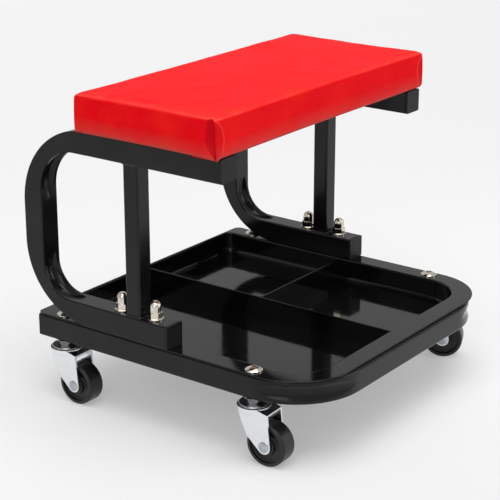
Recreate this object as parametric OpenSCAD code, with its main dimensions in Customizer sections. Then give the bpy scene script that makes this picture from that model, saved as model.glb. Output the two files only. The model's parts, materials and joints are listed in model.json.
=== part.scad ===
// Creeper seat: a low rolling stool for work at floor level.
// A padded seat rests on two bent side frames, which are bolted down over a pressed tool tray
// and its square-tube rail, and four swivelling casters carry the rail.
// The origin is on the floor under the middle of the whole seat.
// X runs along the seat, Y runs to the rear, where the side frames are closed, and Z is up.
// All sizes are in millimetres.

/* [Seat pad] */
// Length of the pad, from side to side
pad_l = 382; // [376:2:400]
// Depth of the pad, from front to rear
pad_w = 181; // [176:1:196]
// Height of the pad at the top of its crown
pad_h = 43.5; // [38:0.5:50]
// How far the middle of the top stands above its edges
pad_crown = 3; // [2:0.5:6]
// Radius of the soft edge round the top
pad_edge_r = 6; // [5:0.5:9]
// How far the sides draw in between the corners
pad_draw_in = 1.6; // [0.5:0.1:2.5]
// How far the front of the pad stands in front of the middle plane
pad_front = 77; // [74:1:82]
// Thickness of the vinyl cover
cover_t = 1; // [0.8:0.1:1.2]
// Thickness of the plywood seat board
board_t = 9; // [7:0.5:12]

/* [Side frames] */
// Width of the square tube
tube_w = 25; // [24:0.5:26]
// Wall of the square tube
tube_t = 1.2; // [1:0.1:1.4]
// Corner radius of the square tube
tube_corner = 1.7; // [1.6:0.1:2.2]
// Height of a side frame over its two runs
frame_h = 213; // [208:1:230]
// Distance of a side frame from the middle plane
frame_x = 170.5; // [169.5:0.5:171]
// Rear face of the side frames
frame_rear = 186.5; // [185:0.5:188]
// Outer radius of a frame's upper bend
upper_bend_r = 89; // [86:1:92]
// Radius of the pressed-in inner wall of the upper bend
upper_inner_r = 47; // [45:1:50]
// Outer radius of a frame's lower bend
lower_bend_r = 83; // [80:1:86]
// Radius of the pressed-in inner wall of the lower bend
lower_inner_r = 35; // [34:1:38]
// Depth of the crush groove inside a frame bend
groove_d = 6.5; // [4:0.5:7]
// Radius of the crush groove's section
groove_r = 9; // [8:0.5:9]
// Face of the cap on the lower run
lower_end = -6; // [-8:1:-4]
// Face of the cap on the upper run
upper_end = -77; // [-78:1:-74]
// Width of the upright post
post_w = 19; // [17:0.5:20]
// Distance of the post behind the middle plane
post_y = 40.5; // [40:0.5:42]
// Distance between the two frame bolts
bolt_pitch = 44; // [43:0.5:48]

/* [Base rail] */
// Width of the rail tube
rail_w = 20; // [20:0.5:20.5]
// Height of the rail tube
rail_h = 25; // [24:0.5:26]
// Half of the width over the rail
rail_x = 179.5; // [179.5:0.5:180]
// Front face of the rail
rail_front = -185.5; // [-187:0.5:-185]
// Outer radius of a rail bend
rail_r = 78; // [77:0.5:79]
// Depth of the flattened patch outside a rail bend
patch_d = 3; // [2:0.5:3]

/* [Tray] */
// Half of the width inside the tray
well_x = 157.5; // [157:0.5:157.5]
// Inner front wall of the tray
well_front = -160; // [-160:0.5:-159]
// Inner rear wall of the tray
well_rear = 174; // [173:0.5:174.5]
// Depth of the tray under its flange
well_d = 23.5; // [22:0.5:24]
// Inner radius of the tray's front corners
well_r = 42; // [42:1:46]
// Inner radius between the tray's floor and walls
floor_r = 5; // [4:0.5:6]
// Width of the flange
flange_w = 23.5; // [23:0.1:23.5]
// Thickness of the tray's sheet
sheet_t = 1.2; // [1:0.1:1.4]
// Distance of the cross divider behind the middle plane
cross_y = 9.5; // [-20:0.5:30]

/* [Casters] */
// Height of the rail's underside above the floor
caster_h = 68.5; // [68:0.5:70]
// Distance of the casters from the middle plane
caster_x = 170; // [169.5:0.5:170]
// Distance of the front casters from the middle plane
caster_front = -106; // [-106:1:-100]
// Distance of the rear casters from the middle plane
caster_rear = 145.5; // [140:0.5:150]
// Radius of a wheel
wheel_r = 22.5; // [21:0.5:22.5]
// Width of a wheel's tread
wheel_w = 20; // [18:0.5:20]
// Distance of the axle behind the swivel
trail = 20; // [19:0.5:21]
// Diameter of the axle
axle_d = 8; // [7:0.5:8]
// Heading of the front left caster, in degrees
heading_front_left = 3; // [-10:1:10]
// Heading of the rear left caster, in degrees
heading_rear_left = 0; // [-10:1:10]
// Heading of the front right caster, in degrees
heading_front_right = 23; // [-10:1:24]
// Heading of the rear right caster, in degrees
heading_rear_right = -8; // [-10:1:10]

/* [Hidden] */
$fn = 64;

// Heights, from the floor up
rail_z = caster_h + rail_h;
hem_t = 2.5;
tray_top = rail_z + hem_t;
frame_z = tray_top;
seat_z = frame_z + frame_h;
floor_z = tray_top - well_d;

// Side frames
upper_bend_z = seat_z - upper_bend_r;
lower_bend_z = frame_z + lower_bend_r;
// how far the groove's ring is set off from the inner wall's centre, so that it runs out
groove_offset = 5;
groove_over = 32;
patch_over = 8;
cap_lip = 3.5;
cap_depth = 14;
cap_gap = 0.15;
lower_tube_end = lower_end + cap_lip;
upper_tube_end = upper_end + cap_lip;
post_t = 1.5;
post_corner = 2;
post_z = frame_z + tube_w;
post_h = frame_h - 2 * tube_w;
weld_r = 1.8;

// Rail
rail_inner_r = 48;
rail_rear = 173.5;
rail_tube_corner = 2.5;
patch_r = 14;
patch_shift = 10;
patch_ring_r = rail_r - patch_d + patch_r + patch_shift * sqrt(2);
rail_mid_x = rail_x - rail_w / 2;

// Tray
flange_r = well_r + flange_w;
flange_x = well_x + flange_w;
flange_front = well_front - flange_w;
flange_rear = well_rear + 3;
rear_r = 8;
lip_r = 2;
hem_w = 7;
hem_back = 3;
hem_edge_t = 1.6;
divider_t = 1.2;
divider_top = tray_top - 1;
divider_gap = 0.4;
divider_hem_d = 2.2;
foot_w = 11;
tab_w = 9;

// Frame bolts, M8
m8 = 8;
m8_hole = 8.6;
m8_af = 13;
m8_head_d = 13;
m8_head_h = 8;
m8_socket = 6;
m8_access_d = 14.4;
washer_d = 17;
washer_t = 1.6;
nut_hex_h = 6.5;
nut_barrel_h = 6;
nut_dome_d = 12;

// Seat bolts, M6
m6 = 6;
m6_hole = 6.6;
m6_head_d = 11;
m6_head_h = 3.3;
tee_d = 16;
tee_barrel_d = 8;
tee_flange_t = 1.2;
seat_bolt_y = [-45, 75];

// Caster hardware, M10
m10 = 10;
m10_hole = 10.5;
button_d = 18;
button_h = 4.6;
button_socket = 6;
nut_af = 17;
race_z = caster_h - 7.2;
race_t = 1.5;
race_r = 15.8;
ball_r = 2.2;
ball_n = 12;
ball_ring_r = 12.6;
dish_r = 17.3;
dish_z = 54.5;
dish_h = 6.1;
fork_t = 2;
lock_af = 16;
lock_h = 4.7;
bolt_end_z = dish_z - lock_h - 1.8;
leg_x = 13.5;
leg_end_r = 7.5;
fork_corner = [-trail - 4, 57.5];
bush_d = 10;
running_fit = 0.05;
side_gap = 0.5;

// Seat pad
cover_n = 48;
plan_corner_r = 3;
board_inset = 2.2;
board_z = seat_z + cover_t;
window_border = 20;
window_side = 42;
pad_mid_y = pad_w / 2 - pad_front;
foam_clear = 0.5;
foam_inset = cover_t + foam_clear;
pad_top_edge = seat_z + pad_h - pad_crown;
edge_steps = 4;

CORNERS = ["front_left", "rear_left", "front_right", "rear_right"];
FRAME_NODES = [
    "base_rail", "rail_end_caps", "tray", "tray_divider_long", "tray_divider_cross",
    "left_side_tube", "right_side_tube", "left_post", "right_post", "post_welds",
    "tube_end_caps", "frame_bolts", "frame_washers", "acorn_nuts"
];
SEAT_NODES = ["seat_board", "seat_foam", "seat_cover", "seat_staples", "seat_bolts", "seat_tee_nuts"];
CASTER_NODES = ["caster_bolts", "caster_nuts", "caster_top_races", "caster_balls", "caster_lock_nuts"];
CASTER_PARTS = ["fork", "axle", "wheel", "bush"];

BLACK = [0.09, 0.09, 0.10];
PLASTIC = [0.05, 0.05, 0.055];
RED = [0.90, 0.09, 0.12];
NICKEL = [0.80, 0.78, 0.72];
ZINC = [0.74, 0.76, 0.78];

function caster_at(c) =
    [(c == "front_left" || c == "rear_left") ? -caster_x : caster_x,
     (c == "front_left" || c == "front_right") ? caster_front : caster_rear, 0];
function heading(c) =
    c == "front_left" ? heading_front_left :
    c == "rear_left" ? heading_rear_left :
    c == "front_right" ? heading_front_right : heading_rear_right;

// Flat shapes

module round_rect(w, h, r) {
    square([w - 2 * r, h], center = true);
    square([w, h - 2 * r], center = true);
    for (x = [-1, 1], y = [-1, 1])
        translate([x * (w / 2 - r), y * (h / 2 - r)])
            circle(r);
}

// Plan of the tray: large radii at the front corners, small ones at the rear
module tray_plan(half_x, front, rear, r_front, r_rear) {
    translate([r_front - half_x, front])
        square([2 * (half_x - r_front), r_front]);
    translate([-half_x, front + r_front])
        square([2 * half_x, rear - r_rear - front - r_front]);
    translate([r_rear - half_x, rear - r_rear])
        square([2 * (half_x - r_rear), r_rear]);
    for (s = [-1, 1]) {
        translate([s * (half_x - r_front), front + r_front])
            circle(r_front);
        translate([s * (half_x - r_rear), rear - r_rear])
            circle(r_rear);
    }
}

// Sweeps

// Carries a flat section, with x outward, along both sides and the rounded front
module along_front(half_x, front, rear, r) {
    for (s = [0, 1])
        mirror([s, 0, 0]) {
            translate([half_x, rear, 0])
                rotate([90, 0, 0])
                    linear_extrude(rear - front - r)
                        children();
            translate([half_x - r, front + r, 0])
                rotate(-90)
                    rotate_extrude(angle = 90)
                        translate([r, 0])
                            children();
        }
    translate([half_x - r, front, 0])
        rotate(-90)
            rotate([90, 0, 0])
                linear_extrude(2 * (half_x - r))
                    children();
}

// Carries a flat section across the rear and round its two small corners
module along_rear(half_x, rear, r) {
    for (s = [0, 1])
        mirror([s, 0, 0])
            translate([half_x - r, rear - r, 0])
                rotate_extrude(angle = 90)
                    translate([r, 0])
                        children();
    translate([r - half_x, rear, 0])
        rotate(90)
            rotate([90, 0, 0])
                linear_extrude(2 * (half_x - r))
                    children();
}

// Quarter of a square tube's bend whose inner wall is pressed in, so that the tube is thinner
// at the middle of the bend. The outer wall turns about the origin, the inner wall about [s, s].
module pinched_bend(r_out, r_in, wide, tall, corner) {
    s = r_out - wide - r_in;
    depth = 1.2 * wide;
    difference() {
        rotate_extrude(angle = 90)
            translate([r_out - depth / 2, 0])
                round_rect(depth, tall, corner);
        translate([s, s, 0])
            rotate_extrude(angle = 90)
                bend_core(r_in, tall / 2, 0.6 * corner);
        for (flip = [0, 1])
            mirror([flip, -flip, 0])
                translate([s, s, 0])
                    rotate([90, 0, 0])
                        linear_extrude(s + 1)
                            bend_core(r_in, tall / 2, 0.6 * corner);
    }
}

// Section of the space inside a bend, which also trims the corners of the tube's inner wall
module bend_core(r, half, trim) {
    polygon([
        [0, -half - 1], [r + trim + 1, -half - 1], [r, trim - half],
        [r, half - trim], [r + trim + 1, half + 1], [0, half + 1]
    ]);
}

// Quarter ring of round section about [shift, shift], longer by an angle at each end
module ring_tool(shift, ring_r, section_r, over) {
    translate([shift, shift, 0])
        rotate(-over)
            rotate_extrude(angle = 90 + 2 * over)
                translate([ring_r, 0])
                    circle(section_r, $fn = 48);
}

module square_bar(length, wide, tall, corner) {
    linear_extrude(length)
        round_rect(wide, tall, corner);
}

// Side frames

// Outer form of a side frame, or its hollow when inset by the wall; x is rearward and y is up
module frame_form(inset, open) {
    w = tube_w - 2 * inset;
    corner = tube_corner - inset;
    translate([lower_tube_end - open, frame_z + tube_w / 2, 0])
        rotate([0, 90, 0])
            square_bar(frame_rear - lower_bend_r - lower_tube_end + open, w, w, corner);
    translate([upper_tube_end - open, seat_z - tube_w / 2, 0])
        rotate([0, 90, 0])
            square_bar(frame_rear - upper_bend_r - upper_tube_end + open, w, w, corner);
    translate([frame_rear - tube_w / 2, lower_bend_z, 0])
        rotate([-90, 0, 0])
            square_bar(upper_bend_z - lower_bend_z, w, w, corner);
    at_upper_bend()
        pinched_bend(upper_bend_r - inset, upper_inner_r + inset, w, w, corner);
    at_lower_bend()
        pinched_bend(lower_bend_r - inset, lower_inner_r + inset, w, w, corner);
}

module at_upper_bend() {
    translate([frame_rear - upper_bend_r, upper_bend_z, 0])
        children();
}

module at_lower_bend() {
    translate([frame_rear - lower_bend_r, lower_bend_z, 0])
        mirror([0, 1, 0])
            children();
}

// Form of the crush grooves in both bends, larger by an allowance
module groove_tools(allowance) {
    at_upper_bend()
        groove_tool(upper_bend_r, upper_inner_r, groove_r + allowance);
    at_lower_bend()
        groove_tool(lower_bend_r, lower_inner_r, groove_r + allowance);
}

// Part of a ring along a bend's inner wall, which leaves the wall again a little past the bend
module groove_tool(r_out, r_in, section_r) {
    ring_tool(r_out - tube_w - r_in + groove_offset,
              r_in + groove_d - groove_r - groove_offset * sqrt(2), section_r, groove_over);
}

// Bores for the frame bolts through the lower run and the seat bolts through the upper run
module frame_bores() {
    for (s = [-1, 1])
        translate([post_y + s * bolt_pitch / 2, frame_z - 1, 0])
            rotate([-90, 0, 0])
                cylinder(d = m8_hole, h = tube_w + 2);
    for (y = seat_bolt_y)
        translate([y, seat_z - tube_w - 1, 0])
            rotate([-90, 0, 0])
                cylinder(d = m6_hole, h = tube_w + 2);
}

module side_tube(side) {
    color(BLACK)
        translate([side * frame_x, 0, 0])
            rotate([90, 0, 90])
                difference() {
                    frame_form(0, 0);
                    difference() {
                        frame_form(tube_t, 1);
                        groove_tools(tube_t);
                    }
                    groove_tools(0);
                    frame_bores();
                }
}

module post(side) {
    color(BLACK)
        translate([side * frame_x, post_y, post_z])
            difference() {
                square_bar(post_h, post_w, post_w, post_corner);
                translate([0, 0, -1])
                    square_bar(post_h + 2, post_w - 2 * post_t, post_w - 2 * post_t, post_corner - post_t);
            }
}

// Fillet weld round one end of a post
module weld_ring() {
    half = post_w / 2;
    difference() {
        union() {
            for (a = [0 : 90 : 270])
                rotate(a) {
                    translate([half, -half, 0])
                        rotate([-90, 0, 0])
                            cylinder(r = weld_r, h = post_w);
                    translate([half, half, 0])
                        sphere(weld_r);
                }
        }
        translate([0, 0, -2 * weld_r])
            linear_extrude(4 * weld_r)
                square(post_w, center = true);
        translate([0, 0, -weld_r])
            linear_extrude(2 * weld_r, center = true)
                square(2 * post_w, center = true);
    }
}

module post_welds() {
    color(BLACK)
        for (side = [-1, 1])
            translate([side * frame_x, post_y, 0]) {
                translate([0, 0, post_z])
                    weld_ring();
                translate([0, 0, post_z + post_h])
                    mirror([0, 0, 1])
                        weld_ring();
            }
}

// Plug with a flat face for the open end of a square tube; it points along +X
module end_cap(wide, tall, corner, wall, lip) {
    rotate([90, 0, 90]) {
        square_bar(lip, wide, tall, corner);
        translate([0, 0, -cap_depth])
            difference() {
                square_bar(cap_depth, wide - 2 * (wall + cap_gap), tall - 2 * (wall + cap_gap), 1);
                translate([0, 0, -1])
                    square_bar(cap_depth + 1, wide - 2 * (wall + 1.8), tall - 2 * (wall + 1.8), 0.6);
            }
    }
}

module tube_end_caps() {
    color(PLASTIC)
        for (side = [-1, 1]) {
            translate([side * frame_x, lower_tube_end, frame_z + tube_w / 2])
                rotate(-90)
                    end_cap(tube_w, tube_w, tube_corner, tube_t, cap_lip);
            translate([side * frame_x, upper_tube_end, seat_z - tube_w / 2])
                rotate(-90)
                    end_cap(tube_w, tube_w, tube_corner, tube_t, cap_lip);
        }
}

// Base rail

module rail_section(inset) {
    translate([-rail_w / 2, 0])
        round_rect(rail_w - 2 * inset, rail_h - 2 * inset, rail_tube_corner - inset);
}

// Outer form of the rail, or its hollow when inset by the wall
module rail_form(inset, open) {
    for (s = [0, 1])
        mirror([s, 0, 0]) {
            translate([rail_x, rail_rear + open, 0])
                rotate([90, 0, 0])
                    linear_extrude(rail_rear + open - rail_front - rail_r)
                        rail_section(inset);
            translate([rail_x - rail_r, rail_front + rail_r, 0])
                mirror([0, 1, 0])
                    pinched_bend(rail_r - inset, rail_inner_r + inset, rail_w - 2 * inset,
                                 rail_h - 2 * inset, rail_tube_corner - inset);
        }
    translate([rail_x - rail_r, rail_front, 0])
        rotate(-90)
            rotate([90, 0, 0])
                linear_extrude(2 * (rail_x - rail_r))
                    rail_section(inset);
}

module at_rail_bends() {
    for (s = [0, 1])
        mirror([s, 0, 0])
            translate([rail_x - rail_r, rail_front + rail_r, 0])
                mirror([0, 1, 0])
                    children();
}

module base_rail() {
    color(BLACK)
        difference() {
            translate([0, 0, caster_h + rail_h / 2])
                difference() {
                    rail_form(0, 0);
                    difference() {
                        rail_form(tube_t, 1);
                        at_rail_bends()
                            ring_tool(-patch_shift, patch_ring_r, patch_r + tube_t, patch_over);
                    }
                    at_rail_bends()
                        ring_tool(-patch_shift, patch_ring_r, patch_r, patch_over);
                }
            at_casters()
                translate([0, 0, caster_h - 1])
                    cylinder(d = m10_hole, h = rail_h + 2);
            at_frame_bolts()
                translate([0, 0, caster_h - 1]) {
                    cylinder(d = m8_hole, h = rail_h + 2);
                    cylinder(d = m8_access_d, h = tube_t + 2);
                }
        }
}

module rail_end_caps() {
    color(PLASTIC)
        for (side = [-1, 1])
            translate([side * rail_mid_x, rail_rear, caster_h + rail_h / 2])
                rotate(90)
                    end_cap(rail_w, rail_h, rail_tube_corner, tube_t, 2.5);
}

// Tray

// Section of the pressed wall: floor bend, wall and mouth bend; x is outward, y is up
module wall_section() {
    translate([0, floor_z + floor_r])
        square([sheet_t, tray_top - lip_r - floor_z - floor_r]);
    translate([-floor_r, floor_z + floor_r])
        intersection() {
            difference() {
                circle(floor_r + sheet_t);
                circle(floor_r);
            }
            translate([0, -floor_r - sheet_t])
                square(floor_r + sheet_t);
        }
    translate([lip_r, tray_top - lip_r])
        intersection() {
            difference() {
                circle(lip_r);
                circle(lip_r - sheet_t);
            }
            translate([-lip_r, 0])
                square(lip_r);
        }
}

// Section of the flange's rolled edge and the folded strip that it stands on, set back under it
module hem_section() {
    translate([-hem_w, -hem_t])
        square([hem_w - hem_back, hem_t]);
    translate([-hem_w, -hem_edge_t])
        square([hem_w - hem_edge_t / 2, hem_edge_t]);
    translate([-hem_edge_t / 2, -hem_edge_t / 2])
        circle(hem_edge_t / 2);
}

module flange_plan() {
    difference() {
        tray_plan(flange_x, flange_front, flange_rear, flange_r, rear_r);
        tray_plan(well_x + lip_r, well_front - lip_r, well_rear + lip_r, well_r + lip_r, rear_r + lip_r);
        // the hem takes the place of the flange's outermost edge
        difference() {
            translate([-2 * flange_x, flange_front - 1])
                square([4 * flange_x, flange_rear - flange_front - rear_r]);
            tray_plan(flange_x - hem_w / 2, flange_front + hem_w / 2, flange_rear + rear_r,
                      flange_r - hem_w / 2, rear_r);
        }
    }
}

module tray() {
    color(BLACK)
        difference() {
            union() {
                along_front(well_x, well_front, well_rear - rear_r, well_r)
                    wall_section();
                along_rear(well_x, well_rear, rear_r)
                    wall_section();
                translate([0, 0, floor_z - sheet_t])
                    linear_extrude(sheet_t)
                        tray_plan(well_x - floor_r, well_front + floor_r, well_rear - floor_r,
                                  well_r - floor_r, rear_r - floor_r);
                translate([0, 0, tray_top - sheet_t])
                    linear_extrude(sheet_t)
                        flange_plan();
                translate([0, 0, tray_top])
                    along_front(flange_x, flange_front, flange_rear - rear_r - 1, flange_r)
                        hem_section();
            }
            at_casters()
                translate([0, 0, rail_z - 1])
                    cylinder(d = m10_hole, h = hem_t + 2);
            at_frame_bolts()
                translate([0, 0, rail_z - 1])
                    cylinder(d = m8_hole, h = hem_t + 2);
        }
}

// Upright sheet with rounded lower corners, standing in the X-Z plane from x = 0
module divider_sheet(length) {
    h = divider_top - divider_hem_d / 2 - floor_z;
    r = floor_r + divider_gap;
    translate([0, divider_t, floor_z])
        rotate([90, 0, 0])
            linear_extrude(divider_t) {
                translate([r, 0])
                    square([length - 2 * r, r]);
                translate([0, r])
                    square([length, h - r]);
                for (x = [r, length - r])
                    translate([x, r])
                        circle(r);
            }
}

// One tray divider along +X: sheet, rolled top edge, folded foot and folded end tabs
module divider(length) {
    divider_sheet(length);
    translate([0, divider_t / 2, divider_top - divider_hem_d / 2])
        rotate([0, 90, 0])
            cylinder(d = divider_hem_d, h = length);
    translate([floor_r + 4, 0, floor_z])
        cube([length - 2 * (floor_r + 4), foot_w, divider_t]);
    for (x = [0, length - divider_t])
        translate([x, 0, floor_z + floor_r + 3])
            cube([divider_t, tab_w, divider_top - floor_z - floor_r - 6]);
}

module tray_divider_long() {
    color(BLACK)
        translate([-divider_t / 2, well_front + divider_gap, 0])
            mirror([1, -1, 0])
                divider(well_rear - well_front - 2 * divider_gap);
}

// The cross divider stands over the long divider's foot in a notch
module tray_divider_cross() {
    color(BLACK)
        difference() {
            translate([divider_hem_d / 2 + divider_gap, cross_y - divider_t / 2, 0])
                divider(well_x - divider_hem_d / 2 - 2 * divider_gap);
            translate([0, cross_y - foot_w, floor_z - 1])
                cube([foot_w + divider_gap, 3 * foot_w, divider_t + 1 + divider_gap]);
        }
}

// Fasteners of the frame

module at_frame_bolts() {
    for (side = [-1, 1], s = [-1, 1])
        translate([side * frame_x, post_y + s * bolt_pitch / 2, 0])
            children();
}

module hex(af, h) {
    cylinder(d = af / cos(30), h = h, $fn = 6);
}

// The bolts' socket heads sit inside the rail, which has an access hole under each of them
module frame_bolts() {
    head_z = rail_z - tube_t - m8_head_h;
    color(NICKEL)
        at_frame_bolts()
            translate([0, 0, head_z])
                difference() {
                    union() {
                        cylinder(d = m8_head_d, h = m8_head_h);
                        cylinder(d = m8, h = post_z + washer_t + nut_hex_h + 2 - head_z);
                    }
                    translate([0, 0, -1])
                        hex(m8_socket, m8_head_h / 2 + 1);
                }
}

module frame_washers() {
    color(NICKEL)
        at_frame_bolts()
            translate([0, 0, post_z])
                difference() {
                    cylinder(d = washer_d, h = washer_t);
                    translate([0, 0, -1])
                        cylinder(d = m8_hole, h = washer_t + 2);
                }
}

module acorn_nuts() {
    color(NICKEL)
        at_frame_bolts()
            translate([0, 0, post_z + washer_t])
                difference() {
                    union() {
                        intersection() {
                            hex(m8_af, nut_hex_h);
                            sphere(m8_af * 0.75);
                        }
                        cylinder(d = nut_dome_d, h = nut_hex_h + nut_barrel_h);
                        translate([0, 0, nut_hex_h + nut_barrel_h])
                            sphere(nut_dome_d / 2);
                    }
                    translate([0, 0, -1])
                        cylinder(d = m8 + 0.1, h = nut_hex_h + nut_barrel_h + 1);
                    translate([0, 0, -nut_dome_d])
                        cylinder(d = 2 * nut_dome_d, h = nut_dome_d);
                }
}

// Seat pad

// How far a side draws in; t runs from 0 at the middle of the side to 1 at its corner
function side_pull(t) = pad_draw_in * pow(cos(90 * t), 2);

// Point k of a quarter of the pad's outline: a rounded rectangle whose sides draw in
function quarter_point(k, inset) =
    let (
        half_l = pad_l / 2 - inset,
        half_w = pad_w / 2 - inset,
        r = max(plan_corner_r - inset, 1),
        straight_n = 4,
        arc_n = cover_n / 4 - 2 * straight_n
    )
    k < straight_n
        ? [half_l - side_pull(k / straight_n), (half_w - r) * k / straight_n]
        : k <= straight_n + arc_n
        ? let (a = 90 * (k - straight_n) / arc_n)
          [half_l - r + r * cos(a), half_w - r + r * sin(a)]
        : let (t = (cover_n / 4 - k) / straight_n)
          [(half_l - r) * t, half_w - side_pull(t)];

// Point i of the whole outline, mirrored from its quarter
function plan_point(i, inset) =
    let (
        quarter = cover_n / 4,
        q = floor(i / quarter),
        k = i - q * quarter,
        p = quarter_point(q % 2 == 0 ? k : quarter - k, inset)
    )
    [(q == 1 || q == 2 ? -1 : 1) * p[0], (q >= 2 ? -1 : 1) * p[1]];

// Ring of points at one height, inset from the outline and scaled towards the middle
function pad_ring(inset, scale, z_edge, rise) =
    [for (i = [0 : cover_n - 1])
        let (
            p = plan_point(i, inset),
            u = p[0] * scale / (pad_l / 2),
            v = p[1] * scale / (pad_w / 2)
        )
        [p[0] * scale, pad_mid_y + p[1] * scale, z_edge + rise * cos(90 * u) * cos(90 * v)]];

// Closed skin over rings of cover_n points, with a fan at each end
function ring_faces(rings) =
    let (last = rings * cover_n)
    concat(
        [for (j = [0 : rings - 2], i = [0 : cover_n - 1])
            each let (a = j * cover_n + i, b = j * cover_n + (i + 1) % cover_n)
            [[a, b, b + cover_n], [a, b + cover_n, a + cover_n]]],
        [for (i = [0 : cover_n - 1]) [last, (i + 1) % cover_n, i]],
        [for (i = [0 : cover_n - 1])
            [last + 1, (rings - 1) * cover_n + i, (rings - 1) * cover_n + (i + 1) % cover_n]]
    );

module ring_solid(rings, first, last) {
    polyhedron(
        points = concat([for (r = rings) each r], [first, last]),
        faces = ring_faces(len(rings)),
        convexity = 4
    );
}

module seat_board() {
    color([0.78, 0.62, 0.42])
        translate([0, pad_mid_y, board_z])
            difference() {
                linear_extrude(board_t)
                    round_rect(pad_l - 2 * board_inset - 2 * pad_draw_in,
                               pad_w - 2 * board_inset - 2 * pad_draw_in, 8);
                for (x = [-frame_x, frame_x], y = seat_bolt_y)
                    translate([x, y - pad_mid_y, -1]) {
                        cylinder(d = tee_barrel_d + 0.2, h = board_t + 2);
                        translate([0, 0, board_t + 1 - tee_flange_t])
                            cylinder(d = tee_d + 0.2, h = 2 * tee_flange_t);
                    }
            }
}

// Rings of the pad's form at a depth under its face, from the middle of the top down its edge
function pad_skin(depth) =
    let (r = pad_edge_r - depth)
    concat(
        [for (s = [0.35, 0.7, 0.93]) pad_ring(pad_edge_r, s, pad_top_edge - depth, pad_crown)],
        [for (k = [0 : edge_steps])
            let (a = 90 - 90 * k / edge_steps)
            pad_ring(pad_edge_r - r * cos(a), 1, pad_top_edge - pad_edge_r + r * sin(a), 0)]
    );

function reversed(list) = [for (i = [len(list) - 1 : -1 : 0]) list[i]];

module seat_foam() {
    color([0.93, 0.88, 0.70])
        ring_solid(
            concat(pad_skin(foam_inset), [pad_ring(foam_inset + 1, 1, board_z + board_t, 0)]),
            [0, pad_mid_y, pad_top_edge + pad_crown - foam_inset],
            [0, pad_mid_y, board_z + board_t]
        );
}

// Outer skin from the middle of the top down to the window in the underside, then back inside
module cover_skin() {
    turn_under = [
        pad_ring(0.3, 1, seat_z + 4, 0),
        pad_ring(1.5, 1, seat_z + 0.8, 0),
        pad_ring(3, 1, seat_z, 0)
    ];
    window = [window_ring(seat_z), window_ring(board_z)];
    inside = concat([pad_ring(cover_t + 1, 1, board_z, 0)], reversed(pad_skin(cover_t)));
    ring_solid(
        concat(pad_skin(0), turn_under, window, inside),
        [0, pad_mid_y, pad_top_edge + pad_crown],
        [0, pad_mid_y, pad_top_edge + pad_crown - cover_t]
    );
}

// Edge of the opening in the underside, inside the turned-in border
function window_ring(z) =
    [for (i = [0 : cover_n - 1])
        let (p = plan_point(i, 3))
        [p[0] * (pad_l / 2 - window_side) / (pad_l / 2),
         pad_mid_y + p[1] * (pad_w / 2 - window_border) / (pad_w / 2), z]];

module seat_cover() {
    color(RED)
        difference() {
            cover_skin();
            for (x = [-frame_x, frame_x], y = seat_bolt_y)
                translate([x, y, seat_z - 1])
                    cylinder(d = m6_hole + 3, h = 3);
        }
}

// Staples that hold the turned-in border to the board
module seat_staples() {
    staple_l = 9;
    staple_t = 0.7;
    rows = [-pad_front + window_border - 6, pad_w - pad_front - window_border + 6];
    color(ZINC)
        for (y = rows, k = [-5 : 5])
            translate([k * 27 - staple_l / 2, y - 0.6, seat_z - staple_t])
                cube([staple_l, 1.2, staple_t]);
}

module seat_bolts() {
    color(NICKEL)
        for (x = [-frame_x, frame_x], y = seat_bolt_y)
            translate([x, y, seat_z - tube_w]) {
                cylinder(d = m6, h = tube_w + cover_t + board_t - 2);
                difference() {
                    dome_head(m6_head_d, m6_head_h);
                    translate([0, 0, -m6_head_h - 1])
                        hex(4, 3);
                }
            }
}

// Domed screw head that hangs down from z = 0
module dome_head(d, h) {
    edge_h = 0.3 * h;
    ball = (pow(d / 2, 2) + pow(h - edge_h, 2)) / (2 * (h - edge_h));
    intersection() {
        translate([0, 0, -h])
            cylinder(d = d, h = h);
        translate([0, 0, ball - h])
            sphere(ball);
    }
}

module seat_tee_nuts() {
    color(ZINC)
        for (x = [-frame_x, frame_x], y = seat_bolt_y)
            translate([x, y, board_z + board_t - tee_flange_t])
                difference() {
                    union() {
                        cylinder(d = tee_d, h = tee_flange_t);
                        translate([0, 0, tee_flange_t - board_t + 0.5])
                            cylinder(d = tee_barrel_d, h = board_t - 0.5);
                    }
                    translate([0, 0, -board_t])
                        cylinder(d = m6 + 0.1, h = 2 * board_t);
                }
}

// Casters

module at_casters() {
    for (c = CORNERS)
        translate(caster_at(c))
            children();
}

// Places one caster's own parts, which point along -Y, at the caster's heading
module at_caster(c) {
    translate(caster_at(c))
        rotate(heading(c))
            children();
}

module at_wheel(c) {
    at_caster(c)
        translate([0, -trail, wheel_r])
            rotate([0, 90, 0])
                children();
}

module caster_bolts() {
    color(NICKEL)
        at_casters() {
            translate([0, 0, tray_top])
                difference() {
                    mirror([0, 0, 1])
                        dome_head(button_d, button_h);
                    translate([0, 0, button_h - 3])
                        hex(button_socket, 4);
                }
            translate([0, 0, bolt_end_z])
                cylinder(d = m10, h = tray_top - bolt_end_z);
        }
}

module caster_nuts() {
    color(ZINC)
        at_casters()
            translate([0, 0, race_z + race_t])
                difference() {
                    intersection() {
                        hex(nut_af, caster_h - race_z - race_t);
                        translate([0, 0, 3])
                            sphere(nut_af * 0.56);
                    }
                    translate([0, 0, -1])
                        cylinder(d = m10 + 0.1, h = 10);
                }
}

// Pressed race over the balls, with a rim that turns down outside them
module caster_top_races() {
    color(PLASTIC)
        at_casters()
            translate([0, 0, race_z])
                difference() {
                    cylinder(r = race_r, h = race_t);
                    translate([0, 0, -1])
                        cylinder(d = m10_hole, h = race_t + 2);
                    translate([0, 0, race_t + 0.6])
                        rotate_extrude()
                            translate([race_r + 0.6, 0])
                                circle(1.6);
                }
}

module caster_balls() {
    color(ZINC)
        at_casters()
            translate([0, 0, race_z - ball_r])
                for (k = [0 : ball_n - 1])
                    rotate(k * 360 / ball_n)
                        translate([ball_ring_r, 0, 0])
                            sphere(ball_r);
}

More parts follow.
